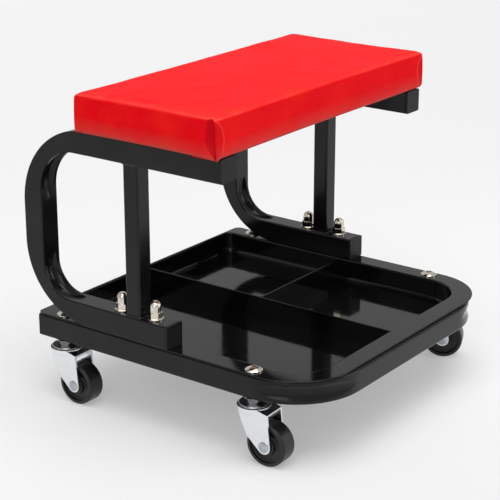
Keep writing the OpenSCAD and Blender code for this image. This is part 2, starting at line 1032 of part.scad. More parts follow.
module caster_lock_nuts() {
    color(ZINC)
        at_casters()
            translate([0, 0, dish_z - 0.3 - lock_h])
                difference() {
                    intersection() {
                        hex(lock_af, lock_h);
                        translate([0, 0, lock_h])
                            sphere(lock_af * 0.6);
                    }
                    translate([0, 0, -1])
                        cylinder(d = m10 + 0.1, h = lock_h + 2);
                }
}

// Outline of a fork leg in the caster's middle plane: x is the distance behind the swivel
module leg_outline() {
    polygon([
        [dish_r - 7.3, dish_z + 1.5], [6.5, 45.6], [0, 31],
        [0.71 * leg_end_r - trail, wheel_r - 0.71 * leg_end_r],
        [-leg_end_r - trail, wheel_r + 0.6],
        [-leg_end_r - trail + 2, 42], fork_corner, [-dish_r + 6, dish_z + dish_h],
        [-dish_r + 6, dish_z + 1.5]
    ]);
    translate([-trail, wheel_r])
        circle(leg_end_r);
}

// Sloping roof of the fork between its legs, outside the dish
module roof_outline() {
    polygon([
        [7 - dish_r, dish_z], [7 - dish_r, dish_z + dish_h - 0.2], [6 - dish_r, dish_z + dish_h],
        fork_corner, fork_corner - [-0.1, fork_t], [1 - dish_r, dish_z + 2.4], [2.5 - dish_r, dish_z]
    ]);
}

// Cup for the balls, pressed up from the fork's roof, with a rounded corner underneath
module fork_dish() {
    corner_r = 2.5;
    rotate_extrude() {
        square([dish_r - corner_r, fork_t]);
        translate([dish_r - fork_t, corner_r])
            square([fork_t, dish_h - corner_r]);
        intersection() {
            translate([dish_r - corner_r, corner_r])
                circle(corner_r);
            translate([dish_r - corner_r, 0])
                square(corner_r);
        }
    }
}

module fork(c) {
    color(ZINC)
        at_caster(c)
            difference() {
                union() {
                    translate([0, 0, dish_z])
                        fork_dish();
                    for (x = [-leg_x, leg_x - fork_t])
                        translate([x, 0, 0])
                            rotate([90, 0, 90])
                                linear_extrude(fork_t)
                                    leg_outline();
                    translate([-leg_x, 0, 0])
                        rotate([90, 0, 90])
                            linear_extrude(2 * leg_x)
                                roof_outline();
                }
                translate([0, 0, dish_z - 1])
                    cylinder(d = m10 + 4 * running_fit, h = fork_t + 2);
                translate([0, 0, dish_z + fork_t])
                    cylinder(r = dish_r - fork_t, h = dish_h);
                translate([-2 * leg_x, -trail, wheel_r])
                    rotate([0, 90, 0])
                        cylinder(d = axle_d + 0.2, h = 4 * leg_x);
            }
}

module axle(c) {
    head_t = 1.6;
    head_d = axle_d + 3.5;
    color(ZINC)
        at_wheel(c) {
            cylinder(d = axle_d, h = 2 * leg_x, center = true);
            for (s = [0, 1])
                mirror([0, 0, s])
                    translate([0, 0, leg_x])
                        difference() {
                            mirror([0, 0, 1])
                                dome_head(head_d, head_t);
                            translate([0, 0, head_t - 0.5])
                                cylinder(d = axle_d * 0.55, h = 1);
                        }
        }
}

// Moulded wheel: tread, recessed web, hub boss and a bore for its bush
module wheel(c) {
    tread_r = wheel_r - 2;
    color(PLASTIC)
        at_wheel(c)
            rotate_extrude()
                difference() {
                    union() {
                        translate([0, -wheel_w / 2])
                            square([tread_r, wheel_w]);
                        translate([0, 2 - wheel_w / 2])
                            square([wheel_r, wheel_w - 4]);
                        for (s = [-1, 1])
                            translate([tread_r, s * (wheel_w / 2 - 2)])
                                circle(2);
                        translate([0, -wheel_w / 2 - 0.5])
                            square([bush_d, wheel_w + 1]);
                    }
                    translate([-wheel_r, -wheel_w])
                        square([wheel_r + bush_d / 2, 2 * wheel_w]);
                    for (s = [-1, 1])
                        translate([(bush_d + wheel_r - 4) / 2, s * wheel_w / 2])
                            round_rect(wheel_r - 4 - bush_d, 7, 1.5);
                }
}

module bush(c) {
    color(ZINC)
        at_wheel(c)
            difference() {
                cylinder(d = bush_d, h = 2 * (leg_x - fork_t - side_gap), center = true);
                cylinder(d = axle_d + 2 * running_fit, h = 4 * leg_x, center = true);
            }
}

base_rail();
rail_end_caps();
tray();
tray_divider_long();
tray_divider_cross();
side_tube(-1);  // left_side_tube
side_tube(1);  // right_side_tube
post(-1);  // left_post
post(1);  // right_post
post_welds();
tube_end_caps();
frame_bolts();
frame_washers();
acorn_nuts();
seat_board();
seat_foam();
seat_cover();
seat_staples();
seat_bolts();
seat_tee_nuts();
caster_bolts();
caster_nuts();
caster_top_races();
caster_balls();
caster_lock_nuts();
for (c = CORNERS) {
    fork(c);
    axle(c);
    wheel(c);
    bush(c);
}
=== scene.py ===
"""Visual model of a rolling creeper seat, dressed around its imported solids.

The seat is a vinyl pad on two bent side frames over a divided tray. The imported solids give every
rigid piece. This script gives them their finishes, and it models the upholstery, the weld beads
and the small marks of manufacture that the solids leave out.
"""

import json
import logging
import math
from dataclasses import dataclass
from enum import Enum

import bmesh
import bpy
import numpy as np
from mathutils import Matrix, Vector, noise

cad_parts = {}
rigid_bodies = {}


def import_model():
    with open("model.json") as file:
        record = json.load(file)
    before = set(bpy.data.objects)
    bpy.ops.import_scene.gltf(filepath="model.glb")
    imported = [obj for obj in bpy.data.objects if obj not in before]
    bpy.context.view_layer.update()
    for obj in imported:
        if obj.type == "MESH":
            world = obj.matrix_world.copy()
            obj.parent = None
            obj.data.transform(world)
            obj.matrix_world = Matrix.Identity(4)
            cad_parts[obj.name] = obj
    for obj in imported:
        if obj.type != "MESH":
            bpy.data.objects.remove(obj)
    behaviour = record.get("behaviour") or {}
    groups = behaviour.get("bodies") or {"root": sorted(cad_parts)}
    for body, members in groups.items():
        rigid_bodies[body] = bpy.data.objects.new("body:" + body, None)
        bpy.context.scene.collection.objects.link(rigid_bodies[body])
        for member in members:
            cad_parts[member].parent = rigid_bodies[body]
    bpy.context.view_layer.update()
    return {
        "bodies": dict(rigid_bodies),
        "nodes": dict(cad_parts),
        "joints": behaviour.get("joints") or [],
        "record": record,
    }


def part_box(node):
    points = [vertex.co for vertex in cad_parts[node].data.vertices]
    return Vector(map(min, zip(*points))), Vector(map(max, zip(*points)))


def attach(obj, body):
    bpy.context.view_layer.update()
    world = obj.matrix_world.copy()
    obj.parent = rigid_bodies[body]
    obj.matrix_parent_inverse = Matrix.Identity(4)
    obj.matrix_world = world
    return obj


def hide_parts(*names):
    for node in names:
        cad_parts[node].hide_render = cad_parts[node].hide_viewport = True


LOG = logging.getLogger("creeper_seat")
MM = 0.001
TINY = 1e-9
ROOT = "root"

Rgb = tuple[float, float, float]
Point = tuple[float, float, float]
Line = tuple[tuple[float, ...], tuple[float, ...]]


def fade(value: np.ndarray, start: float, width: float) -> np.ndarray:
    """Return 1 up to a start, and a value that falls evenly to 0 over a width behind it."""
    return np.clip(1 - (value - start) / width, 0, 1)


def bump(value: np.ndarray, middle: float, width: float) -> np.ndarray:
    """Return a bell curve of height 1 round a middle, with its half width."""
    return np.exp(-((value - middle) / width) ** 2)


def put_in_scene(name: str, data: bpy.types.ID) -> bpy.types.Object:
    """Make an object and link it into the scene.

    Args:
        name: Name of the object.
        data: Its mesh, camera or light.

    Returns:
        The object.
    """
    made = bpy.data.objects.new(name, data)
    bpy.context.scene.collection.objects.link(made)
    return made


def block(size: np.ndarray, centre: np.ndarray) -> bmesh.types.BMesh:
    """Make a block.

    Args:
        size: Its width, depth and height, in millimetres.
        centre: Its middle, in millimetres.

    Returns:
        The block.
    """
    form = bmesh.new()
    bmesh.ops.create_cube(form, size=1.0)
    bmesh.ops.transform(form, matrix=Matrix.Diagonal((*(size * MM), 1)), verts=form.verts)
    bmesh.ops.translate(form, vec=Vector(centre * MM), verts=form.verts)
    return form


def into_object(form: bmesh.types.BMesh, name: str) -> bpy.types.Object:
    """Turn a form into an object of the scene.

    Args:
        form: The form, which is freed.
        name: Name of the object.

    Returns:
        The object.
    """
    mesh = bpy.data.meshes.new(name)
    form.to_mesh(mesh)
    form.free()
    return put_in_scene(name, mesh)


class Side(Enum):
    """The two sides of the seat, with the sign of their X coordinate."""

    LEFT = -1
    RIGHT = 1


class Corner(Enum):
    """The four corners, with the signs of their X and Y coordinates."""

    FRONT_LEFT = (-1, -1)
    REAR_LEFT = (-1, 1)
    FRONT_RIGHT = (1, -1)
    REAR_RIGHT = (1, 1)

    @property
    def prefix(self) -> str:
        """Return the name that the corner's solids start with."""
        return self.name.lower()


class ShaderGraph:
    """Builds one node material around a Principled shader."""

    def __init__(self, name: str) -> None:
        """Start an empty material.

        Args:
            name: Name of the material.
        """
        self.material = bpy.data.materials.new(name)
        self.material.use_nodes = True
        self.tree = self.material.node_tree
        self.tree.nodes.clear()
        self.output = self.add("ShaderNodeOutputMaterial")
        self.shader = self.add("ShaderNodeBsdfPrincipled")
        self.join(self.shader, "BSDF", self.output, "Surface")
        self.coordinates = self.add("ShaderNodeTexCoord")
        self.top_colour = None

    def add(self, kind: str, **values: object) -> bpy.types.Node:
        """Add a node and set its inputs or attributes.

        Args:
            kind: Blender's node type.
            **values: Attribute values, or input values by name with spaces as underscores.

        Returns:
            The new node.
        """
        node = self.tree.nodes.new(kind)
        for key, value in values.items():
            title = key.replace("_", " ")
            if hasattr(node, key):
                setattr(node, key, value)
            else:
                node.inputs[title].default_value = value
        return node

    def join(self, source: bpy.types.Node, out: str, target: bpy.types.Node,
             into: str | int) -> None:
        """Link one node's output to another's input."""
        self.tree.links.new(source.outputs[out], target.inputs[into])

    def fixed(self, **values: object) -> None:
        """Set constant inputs of the Principled shader, spaces as underscores."""
        for key, value in values.items():
            self.shader.inputs[key.replace("_", " ")].default_value = value

    def noise(self, size_mm: float, detail: float = 2.0, stretch: Point = (1, 1, 1)) -> bpy.types.Node:
        """Add a noise texture in the object's own space.

        Args:
            size_mm: Size of one blotch.
            detail: Number of finer octaves.
            stretch: Scale of the space along X, Y and Z.

        Returns:
            The noise node.
        """
        mapping = self.add("ShaderNodeMapping")
        mapping.inputs["Scale"].default_value = stretch
        self.join(self.coordinates, "Object", mapping, "Vector")
        texture = self.add("ShaderNodeTexNoise", Scale=1 / (size_mm * MM), Detail=detail)
        self.join(mapping, "Vector", texture, "Vector")
        return texture

    def cells(self, size_mm: float, feature: str = "DISTANCE_TO_EDGE") -> bpy.types.Node:
        """Add a cell texture in the object's own space.

        Args:
            size_mm: Size of one cell.
            feature: Blender's name of the cell value to give.

        Returns:
            The cell node.
        """
        texture = self.add("ShaderNodeTexVoronoi", feature=feature, Scale=1 / (size_mm * MM))
        self.join(self.coordinates, "Object", texture, "Vector")
        return texture

    def spread(self, source: bpy.types.Node, out: str, low: float, high: float,
               start: float = 0.3, end: float = 0.7) -> bpy.types.Node:
        """Map a texture's value from start..end to low..high.

        Args:
            source: Texture node.
            out: Name of its output.
            low: Value given at start.
            high: Value given at end.
            start: Lower bound of the texture's value.
            end: Upper bound of the texture's value.

        Returns:
            The mapping node, whose output is Result.
        """
        node = self.add("ShaderNodeMapRange")
        node.inputs["From Min"].default_value = start
        node.inputs["From Max"].default_value = end
        node.inputs["To Min"].default_value = low
        node.inputs["To Max"].default_value = high
        self.join(source, out, node, "Value")
        return node

    def two_tone(self, texture: bpy.types.Node, low: Rgb, high: Rgb, start: float, end: float) -> None:
        """Drive the base colour from low to high with a noise texture.

        Args:
            texture: The noise node.
            low: Linear colour up to the lower bound.
            high: Linear colour from the upper bound on.
            start: Lower bound of the noise.
            end: Upper bound of the noise.
        """
        self.colour(self.spread(texture, "Fac", 0, 1, start, end), "Result", low, high)

    def roughness(self, texture: bpy.types.Node, rough: tuple[float, float], start: float = 0.3) -> None:
        """Drive the roughness with a noise texture.

        Args:
            texture: The noise node.
            rough: Lowest and highest roughness.
            start: Lower bound of the noise.
        """
        spread = self.spread(texture, "Fac", rough[0], rough[1], start)
        self.join(spread, "Result", self.shader, "Roughness")

    def colour(self, mask: bpy.types.Node, out: str, low: Rgb, high: Rgb) -> None:
        """Drive the base colour from low to high with a mask from 0 to 1.

        Args:
            mask: Node that gives the mask.
            out: Name of its output.
            low: Linear colour where the mask is 0.
            high: Linear colour where the mask is 1.
        """
        mix = self.add("ShaderNodeMix", data_type="RGBA")
        mix.inputs[6].default_value = (*low, 1)
        mix.inputs[7].default_value = (*high, 1)
        self.join(mask, out, mix, 0)
        self.top_colour = mix.outputs[2]
        self.tree.links.new(self.top_colour, self.shader.inputs["Base Color"])

    def overlay(self, mask: bpy.types.Node, out: str, colour: Rgb) -> None:
        """Lay one more colour over the base colour.

        Args:
            mask: Node that gives the mask, 1 where the new colour covers.
            out: Name of its output.
            colour: Linear colour.
        """
        mix = self.add("ShaderNodeMix", data_type="RGBA")
        mix.inputs[7].default_value = (*colour, 1)
        self.tree.links.new(self.top_colour, mix.inputs[6])
        self.join(mask, out, mix, 0)
        self.top_colour = mix.outputs[2]
        self.tree.links.new(self.top_colour, self.shader.inputs["Base Color"])

    def mark(self, name: str) -> bpy.types.Node:
        """Add a reader of a value that is stored on the mesh's points."""
        return self.add("ShaderNodeAttribute", attribute_name=name)

    def relief(self, layers: list[tuple[bpy.types.Node, str, float]], edge_mm: float = 0.0) -> None:
        """Drive the shader's normal with stacked bumps.

        Args:
            layers: Height source, its output name and its depth in millimetres, coarse to fine.
            edge_mm: Radius by which hard edges look rounded, or 0 for none.
        """
        below = None
        if edge_mm > 0:
            below = self.add("ShaderNodeBevel", samples=4, Radius=edge_mm * MM)
        for source, out, depth_mm in layers:
            bump = self.add("ShaderNodeBump", Strength=1.0, Distance=depth_mm * MM)
            self.join(source, out, bump, "Height")
            if below is not None:
                self.join(below, "Normal", bump, "Normal")
            below = bump
        if below is not None:
            self.join(below, "Normal", self.shader, "Normal")


@dataclass(frozen=True)
class Paint:
    """Sprayed or powder-coated black paint on steel.

    Attributes:
        name: Material name.
        colour: Linear base colour.
        dust: Linear colour of the thin dust bloom on it.
        rough: Lowest and highest roughness.
        specular: Specular level of the paint.
        peel_mm: Size of the orange peel.
        peel_depth_mm: Depth of the orange peel.
        edge_mm: Radius of softened edges.
    """

    name: str
    colour: Rgb
    dust: Rgb
    rough: tuple[float, float]
    specular: float
    peel_mm: float
    peel_depth_mm: float
    edge_mm: float

    def build(self) -> bpy.types.Material:
        """Make the material.

        Returns:
            The material.
        """
        graph = ShaderGraph(self.name)
        graph.fixed(Specular_IOR_Level=self.specular)
        bloom = graph.noise(size_mm=38, detail=5)
        graph.two_tone(bloom, self.colour, self.dust, start=0.42, end=0.75)
        graph.roughness(graph.noise(size_mm=22, detail=4), self.rough)
        peel = graph.noise(self.peel_mm, detail=1)
        fine = graph.noise(self.peel_mm / 4, detail=2)
        layers = [(peel, "Fac", self.peel_depth_mm), (fine, "Fac", self.peel_depth_mm / 5)]
        graph.relief(layers, self.edge_mm)
        return graph.material


@dataclass(frozen=True)
class Plating:
    """Bright plated steel.

    Attributes:
        name: Material name.
        colour: Linear reflection colour.
        tarnish: Linear colour of its duller patches.
        rough: Lowest and highest roughness.
        grain: Stretch of the brushed grain along X, Y and Z.
        edge_mm: Radius of softened edges.
    """

    name: str
    colour: Rgb
    tarnish: Rgb
    rough: tuple[float, float]
    grain: Point
    edge_mm: float

    def build(self) -> bpy.types.Material:
        """Make the material.

        Returns:
            The material.
        """
        graph = ShaderGraph(self.name)
        graph.fixed(Metallic=1.0)
        cloud = graph.noise(size_mm=6, detail=4)
        graph.two_tone(cloud, self.colour, self.tarnish, start=0.45, end=0.7)
        streaks = graph.noise(size_mm=0.8, detail=2, stretch=self.grain)
        graph.roughness(streaks, self.rough)
        ripple = graph.noise(size_mm=3.5, detail=1)
        ripple_depth_mm, streak_depth_mm = 0.012, 0.002
        layers = [(ripple, "Fac", ripple_depth_mm), (streaks, "Fac", streak_depth_mm)]
        graph.relief(layers, self.edge_mm)
        return graph.material


@dataclass(frozen=True)
class Moulding:
    """Moulded plastic with a fine grain.

    Attributes:
        name: Material name.
        colour: Linear base colour.
        scuff: Linear colour of scuffed places.
        specular: Specular level of the plastic.
        rough: Lowest and highest roughness.
        grain_mm: Size of the grain.
        grain_depth_mm: Depth of the grain.
        edge_mm: Radius of softened edges.
    """

    name: str
    colour: Rgb
    scuff: Rgb
    specular: float
    rough: tuple[float, float]
    grain_mm: float
    grain_depth_mm: float
    edge_mm: float

    def build(self) -> bpy.types.Material:
        """Make the material.

        Returns:
            The material.
        """
        graph = ShaderGraph(self.name)
        graph.fixed(Specular_IOR_Level=self.specular)
        wear = graph.noise(size_mm=7, detail=6)
        graph.two_tone(wear, self.colour, self.scuff, start=0.52, end=0.74)
        graph.roughness(wear, self.rough, start=0.35)
        grain = graph.cells(self.grain_mm, "F1")
        graph.relief([(grain, "Distance", self.grain_depth_mm)], self.edge_mm)
        return graph.material


@dataclass(frozen=True)
class Vinyl:
    """Upholstery vinyl with an embossed leather grain.

    Attributes:
        name: Material name.
        colour: Linear base colour.
        worn: Linear colour of its rubbed and stretched places.
        rough: Lowest and highest roughness.
        grain_mm: Size of the embossed grain.
        grain_depth_mm: Depth of the grain.
        crease_mm: Size of the soft handling creases.
        crease_depth_mm: Depth of the creases.
        specular: Specular level of the vinyl.
        marks: Linear colour laid over each kind of mark that is stored on the mesh: painted highlight,
            painted reflection and painted shade.
    """

    name: str
    colour: Rgb
    worn: Rgb
    rough: tuple[float, float]
    grain_mm: float
    grain_depth_mm: float
    crease_mm: float
    crease_depth_mm: float
    specular: float
    marks: tuple[tuple[str, Rgb], ...]

    def build(self) -> bpy.types.Material:
        """Make the material.

        Returns:
            The material.
        """
        graph = ShaderGraph(self.name)
        graph.fixed(Specular_IOR_Level=self.specular)
        cloud = graph.noise(size_mm=46, detail=6, stretch=(1, 1.4, 1.4))
        graph.two_tone(cloud, self.colour, self.worn, start=0.40, end=0.78)
        veins = graph.cells(self.crease_mm * 0.6)
        lines = graph.spread(veins, "Distance", low=0.55, high=0.0, start=0.0, end=0.045)
        graph.overlay(lines, "Result", self.worn)
        # Lay the painted highlight, painted reflection and painted shade that the mesh stores.
        for name, colour in self.marks:
            graph.overlay(graph.mark(name), "Fac", colour)
        graph.roughness(cloud, self.rough)
        creases = graph.noise(self.crease_mm, detail=5, stretch=(0.7, 1.5, 1.2))
        folds = graph.cells(self.crease_mm * 1.3)
        sharp = graph.spread(folds, "Distance", 0, 1, start=0.0, end=0.10)
        grain = graph.cells(self.grain_mm)
        pores = graph.spread(grain, "Distance", 0, 1, start=0.0, end=0.22)
        graph.relief([
            (creases, "Fac", self.crease_depth_mm),
            (sharp, "Result", self.crease_depth_mm * 0.10),
            (pores, "Result", self.grain_depth_mm),
        ])
        return graph.material


@dataclass(frozen=True)
class Plywood:
    """Raw plywood: streaked faces and glued layers at the edges.

    Attributes:
        name: Material name.
        colour: Linear colour of pale wood.
        streak: Linear colour of the darker grain.
    """

    name: str
    colour: Rgb
    streak: Rgb

    def build(self) -> bpy.types.Material:
        """Make the material.

        Returns:
            The material.
        """
        graph = ShaderGraph(self.name)
        fibres = graph.noise(size_mm=4, detail=6, stretch=(0.06, 1.0, 3.0))
        graph.two_tone(fibres, self.colour, self.streak, start=0.35, end=0.68)
        graph.fixed(Roughness=0.75)
        fibre_depth_mm = 0.12
        graph.relief([(fibres, "Fac", fibre_depth_mm)])
        return graph.material


Finish = Paint | Plating | Moulding | Vinyl | Plywood
Finishes = tuple[tuple[str, Finish], ...]


FRAME_PAINT = Paint("black_frame_paint", (0.0040, 0.0040, 0.0046), (0.0085, 0.0085, 0.0092),
                    (0.13, 0.22), 0.25, 2.4, 0.03, 0.7)
TRAY_PAINT = Paint("black_tray_enamel", (0.0022, 0.0022, 0.0026), (0.0040, 0.0040, 0.0045),
                   (0.05, 0.10), 0.30, 5.0, 0.008, 0.6)
WELD_PAINT = Paint("painted_weld", (0.0050, 0.0050, 0.0055), (0.014, 0.014, 0.014),
                   (0.22, 0.34), 0.35, 0.9, 0.08, 0.0)
# The red vinyl's marks paint a highlight along the top's edges, a reflection along the foot, and shade in
# the folds and creases.
RED_VINYL = Vinyl("red_vinyl", (0.79, 0.0024, 0.0085), (0.85, 0.012, 0.0095), (0.40, 0.52),
                  1.1, 0.03, 17.0, 0.5, 0.025,
                  (("rim_highlight", (0.92, 0.115, 0.080)), ("foot_reflection", (0.58, 0.075, 0.062)),
                   ("lens_shade", (0.50, 0.0020, 0.0080)), ("crease_shade", (0.26, 0.0010, 0.0060))))
NICKEL = Plating("nickel_plate", (0.70, 0.66, 0.58), (0.60, 0.56, 0.48), (0.05, 0.12), (1, 1, 1), 0.25)
ZINC = Plating("zinc_plate", (0.80, 0.82, 0.84), (0.77, 0.79, 0.81), (0.10, 0.18), (1, 1, 0.25), 0.35)
AXLE_ZINC = Plating("blue_zinc_axle", (0.46, 0.50, 0.54), (0.36, 0.39, 0.42), (0.14, 0.24), (1, 1, 1), 0.3)
NUT_STEEL = Plating("dark_nut_steel", (0.20, 0.20, 0.21), (0.12, 0.12, 0.12), (0.18, 0.30), (1, 1, 1), 0.3)
RACE_STEEL = Plating("dark_race_steel", (0.32, 0.32, 0.33), (0.24, 0.24, 0.25), (0.08, 0.16),
                     (1, 1, 1), 0.2)
CAP_PLASTIC = Moulding("black_cap_plastic", (0.0050, 0.0050, 0.0055), (0.010, 0.010, 0.0105), 0.25,
                       (0.42, 0.60), 0.5, 0.03, 0.5)
WHEEL_PLASTIC = Moulding("black_wheel_plastic", (0.0080, 0.0080, 0.0088), (0.018, 0.018, 0.019), 0.40,
                         (0.30, 0.46), 0.6, 0.02, 0.4)
BOARD_WOOD = Plywood("raw_plywood", (0.62, 0.44, 0.25), (0.42, 0.27, 0.13))


class FinishShelf:
    """Builds each finish once and hands it out."""

    def __init__(self) -> None:
        """Start with no materials made."""
        self._made: dict[str, bpy.types.Material] = {}

    def get(self, finish: Finish) -> bpy.types.Material:
        """Give the material of a finish, made on first use.

        Args:
            finish: The finish.

        Returns:
            Its material.
        """
        if finish.name not in self._made:
            self._made[finish.name] = finish.build()
        return self._made[finish.name]


class MeshMaker:
    """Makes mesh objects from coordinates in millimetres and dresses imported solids."""

    def __init__(self, frame: dict, shelf: FinishShelf) -> None:
        """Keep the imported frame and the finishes.

        Args:
            shelf: The finishes.
        """
        self.nodes = frame["nodes"]
        self.shelf = shelf

    def dress(self, node: str, finish: Finish) -> None:
        """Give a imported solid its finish.

        Args:
            node: Name of the solid.
            finish: Finish for all its faces.
        """
        solid = self.nodes[node]
        material = self.shelf.get(finish)
        if not solid.material_slots:
            solid.data.materials.append(material)
        for slot in solid.material_slots:
            slot.material = material
        LOG.info("dressed %s in %s", node, finish.name)

    def dress_all(self, finishes: Finishes, start: str = "") -> None:
        """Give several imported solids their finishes.

        Args:
            finishes: Name of each solid, and its finish.
            start: Start of the names, where they share one.
        """
        for node, finish in finishes:
            self.dress(start + node, finish)

    def piece(self, name: str, points: np.ndarray, faces: list[tuple[int, ...]],
              finish: Finish) -> bpy.types.Object:
        """Make a smooth mesh object.

        Args:
            name: Name of the piece.
            points: Points in millimetres, one row each.
            faces: Vertex numbers of each face.
            finish: Finish of the piece.

        Returns:
            The new object, at the origin, with its place in its mesh.
        """
        mesh = bpy.data.meshes.new(name)
        mesh.from_pydata([tuple(p) for p in np.asarray(points, float) * MM], [], faces)
        mesh.validate()
        mesh.materials.append(self.shelf.get(finish))
        mesh.shade_smooth()
        LOG.info("made %s with %d faces", name, len(mesh.polygons))
        return put_in_scene(name, mesh)


def tube_faces(rings: int, around: int, closed: bool, offset: int = 0) -> list[tuple[int, ...]]:
    """List the quads of a tube whose rings each have the same number of points.

    Args:
        rings: Number of rings.
        around: Points in a ring.
        closed: Whether the last ring joins the first.
        offset: Number of the first point.

    Returns:
        The faces.
    """
    faces = []
    for i in range(rings if closed else rings - 1):
        j = (i + 1) % rings
        for k in range(around):
            m = (k + 1) % around
            faces.append((offset + i * around + k, offset + i * around + m,
                          offset + j * around + m, offset + j * around + k))
    return faces


CLOTH_SETTINGS = {
    "quality": 6,
    "mass": 0.35,
    "tension_stiffness": 18,
    "compression_stiffness": 18,
    "shear_stiffness": 6,
    "bending_stiffness": 2.0,
    "use_pressure": True,
    "uniform_pressure_force": 4.0,
    "vertex_group_mass": "held",
}


@dataclass(frozen=True)
class FoldShape:
    """Folded vinyl at a corner of the pad, in millimetres.

    A line is a row of height shares, from 0 at the pad's foot to 1 at the edge of its top, and
    a row of the distances from the corner at these heights.

    Attributes:
        reach: How far from a corner its fold is modelled.
        foot_margin: Height above the underside from which the mesh is cut finer.
        finer_rounds: How often the cells near a corner are halved.
        cuts: Distances from the fold's line at which the mesh is cut.
        fold_line: Line of the fold.
        lens_line: Line of the folded lens's far edge.
        ridge_line: Line of the ridge on the corner's other face.
        depth: How deep the vinyl dips beside the folds at the front.
        rear_share: Share of that depth at the rear, where the folds are drawn tight.
        full_width: Width of the lens at which the dip has its full depth.
        least_width: Width of the lens under which there is no dip.
        edge: Distance behind the fold's line that still counts as its edge.
        powers: How the dip grows with the lens's width, and fades across the lens.
        lip: Height of the raised lip before the fold, and its reach.
        lap: How far the lip laps over the fold, and its reach.
        ridge: Height of the ridge, and its half width.
        heights: Lowest and highest height share of the fold.
        along: How far along its face a fold or a ridge may lie.
        wall: Depth under the folded face where the fold starts to fade, its fade, and how far
            outside the face it still holds.
        ridge_start: Distance from the corner where the ridge's face starts.
        ridge_heights: Lowest and highest height share of the ridge.
        ridge_wall: Depth under its face where the ridge starts to fade, and its fade.
        sag: How far the foot of the front left corner hangs down, and pushes forward.
        sag_inward: Distance inward where the sag ends, and its fade.
        sag_reach: Reach of the sag upward and along the folded face.
        sag_power: How fast the sag fades upward.
    """

    reach: float = 22.0
    foot_margin: float = 1.5
    finer_rounds: int = 2
    cuts: tuple[float, ...] = (-1.2, -0.5, -0.1, 0.25, 0.9, 2.0)
    fold_line: Line = (
        (0.02, 0.17, 0.54, 0.78, 0.93, 0.975, 0.988),
        (1.3, 1.3, 1.5, 2.0, 3.2, 4.2, 6.0))
    lens_line: Line = (
        (0.0, 0.02, 0.17, 0.29, 0.41, 0.58, 0.88, 0.94, 0.975, 0.988),
        (1.3, 2.6, 8.2, 11.6, 14.0, 13.8, 13.2, 12.5, 10.8, 6.6))
    ridge_line: Line = (
        (0.02, 0.1, 0.25, 0.48, 0.72, 0.88, 0.975),
        (5, 8.7, 11, 12.7, 10.6, 5.1, 0))
    depth: float = 3.2
    rear_share: float = 0.3
    full_width: float = 13.0
    least_width: float = 0.3
    edge: float = 0.05
    powers: tuple[float, float] = (0.6, 1.15)
    lip: tuple[float, float] = (0.3, 1.2)
    lap: tuple[float, float] = (0.5, 1.0)
    ridge: tuple[float, float] = (0.5, 1.6)
    heights: tuple[float, float] = (0.005, 0.992)
    along: float = 30.0
    wall: tuple[float, float, float] = (5.0, 6.0, 6.0)
    ridge_start: float = 0.4
    ridge_heights: tuple[float, float] = (0.01, 0.975)
    ridge_wall: tuple[float, float] = (1.5, 2.0)
    sag: tuple[float, float] = (1.6, 1.3)
    sag_inward: tuple[float, float] = (7.5, 4.0)
    sag_reach: float = 22.0
    sag_power: float = 1.5


@dataclass(frozen=True)
class PaintedLightMarks:
    """Where highlight, reflection and shade are painted on the vinyl, in millimetres and shares.

    Attributes:
        top_depth: Depth under the top's edge where the rim's painted highlight starts to fade, and its
            fade.
        rim_strength: Strength at the near and far edge, across X and across Y.
        rim_width: Width of the soft painted highlight at the near and at the far edges.
        rim_soft: Strength of the soft painted highlight beside the sharp line.
        rim_line: Distance from the side to the sharp line, and the line's fade.
        patch_scale: Scale of the patches that break up the painted highlight and the painted reflection.
        rim_patches: Mean and swing of the patches on the rim.
        foot_patches: Mean and swing of the patches on the foot.
        foot_line: Heights above the underside, and the strength of the painted reflection at each.
        lens: Strength of the shade in the lens, and the share of its width that it fades over.
        crease: Strength of the crease's shade at the front and at the rear.
        crease_place: Distance of the crease's shade behind the fold, and its half width.
        crease_width: Width of the lens under which the crease has no shade.
        ridge: Strength of the painted highlight on the ridge.
        ridge_place: Distance of the painted highlight line from the ridge, and its half width.
        behind_ridge: Strength of the shade between the ridge and the corner, and its fade.
    """

    top_depth: tuple[float, float] = (0.9, 1.4)
    rim_strength: tuple[tuple[float, float], tuple[float, float]] = ((1.0, 0.5), (0.7, 0.5))
    rim_width: tuple[float, float] = (7.0, 3.5)
    rim_soft: float = 0.55
    rim_line: tuple[float, float] = (1.5, 2.0)
    patch_scale: float = 0.06
    rim_patches: tuple[float, float] = (0.85, 0.5)
    foot_patches: tuple[float, float] = (0.9, 0.5)
    foot_line: Line = ((0, 1.7, 2.8, 4, 5, 9, 18), (1, 1, 0.75, 0.58, 0.42, 0.28, 0))
    lens: tuple[float, float] = (0.75, 0.12)
    crease: tuple[float, float] = (0.85, 0.3)
    crease_place: tuple[float, float] = (0.6, 1.2)
    crease_width: float = 0.1
    ridge: float = 0.30
    ridge_place: tuple[float, float] = (0.3, 1.3)
    behind_ridge: tuple[float, float] = (0.30, 2.0)


@dataclass(frozen=True)
class Crease:
    """One handling crease in the pad's front side, in millimetres.

    Attributes:
        x: X of its middle.
        z: Height of its middle.
        tilt: Its tilt in degrees.
        length: Its half length.
        depth: Its depth.
    """

    x: float
    z: float
    tilt: float
    length: float
    depth: float


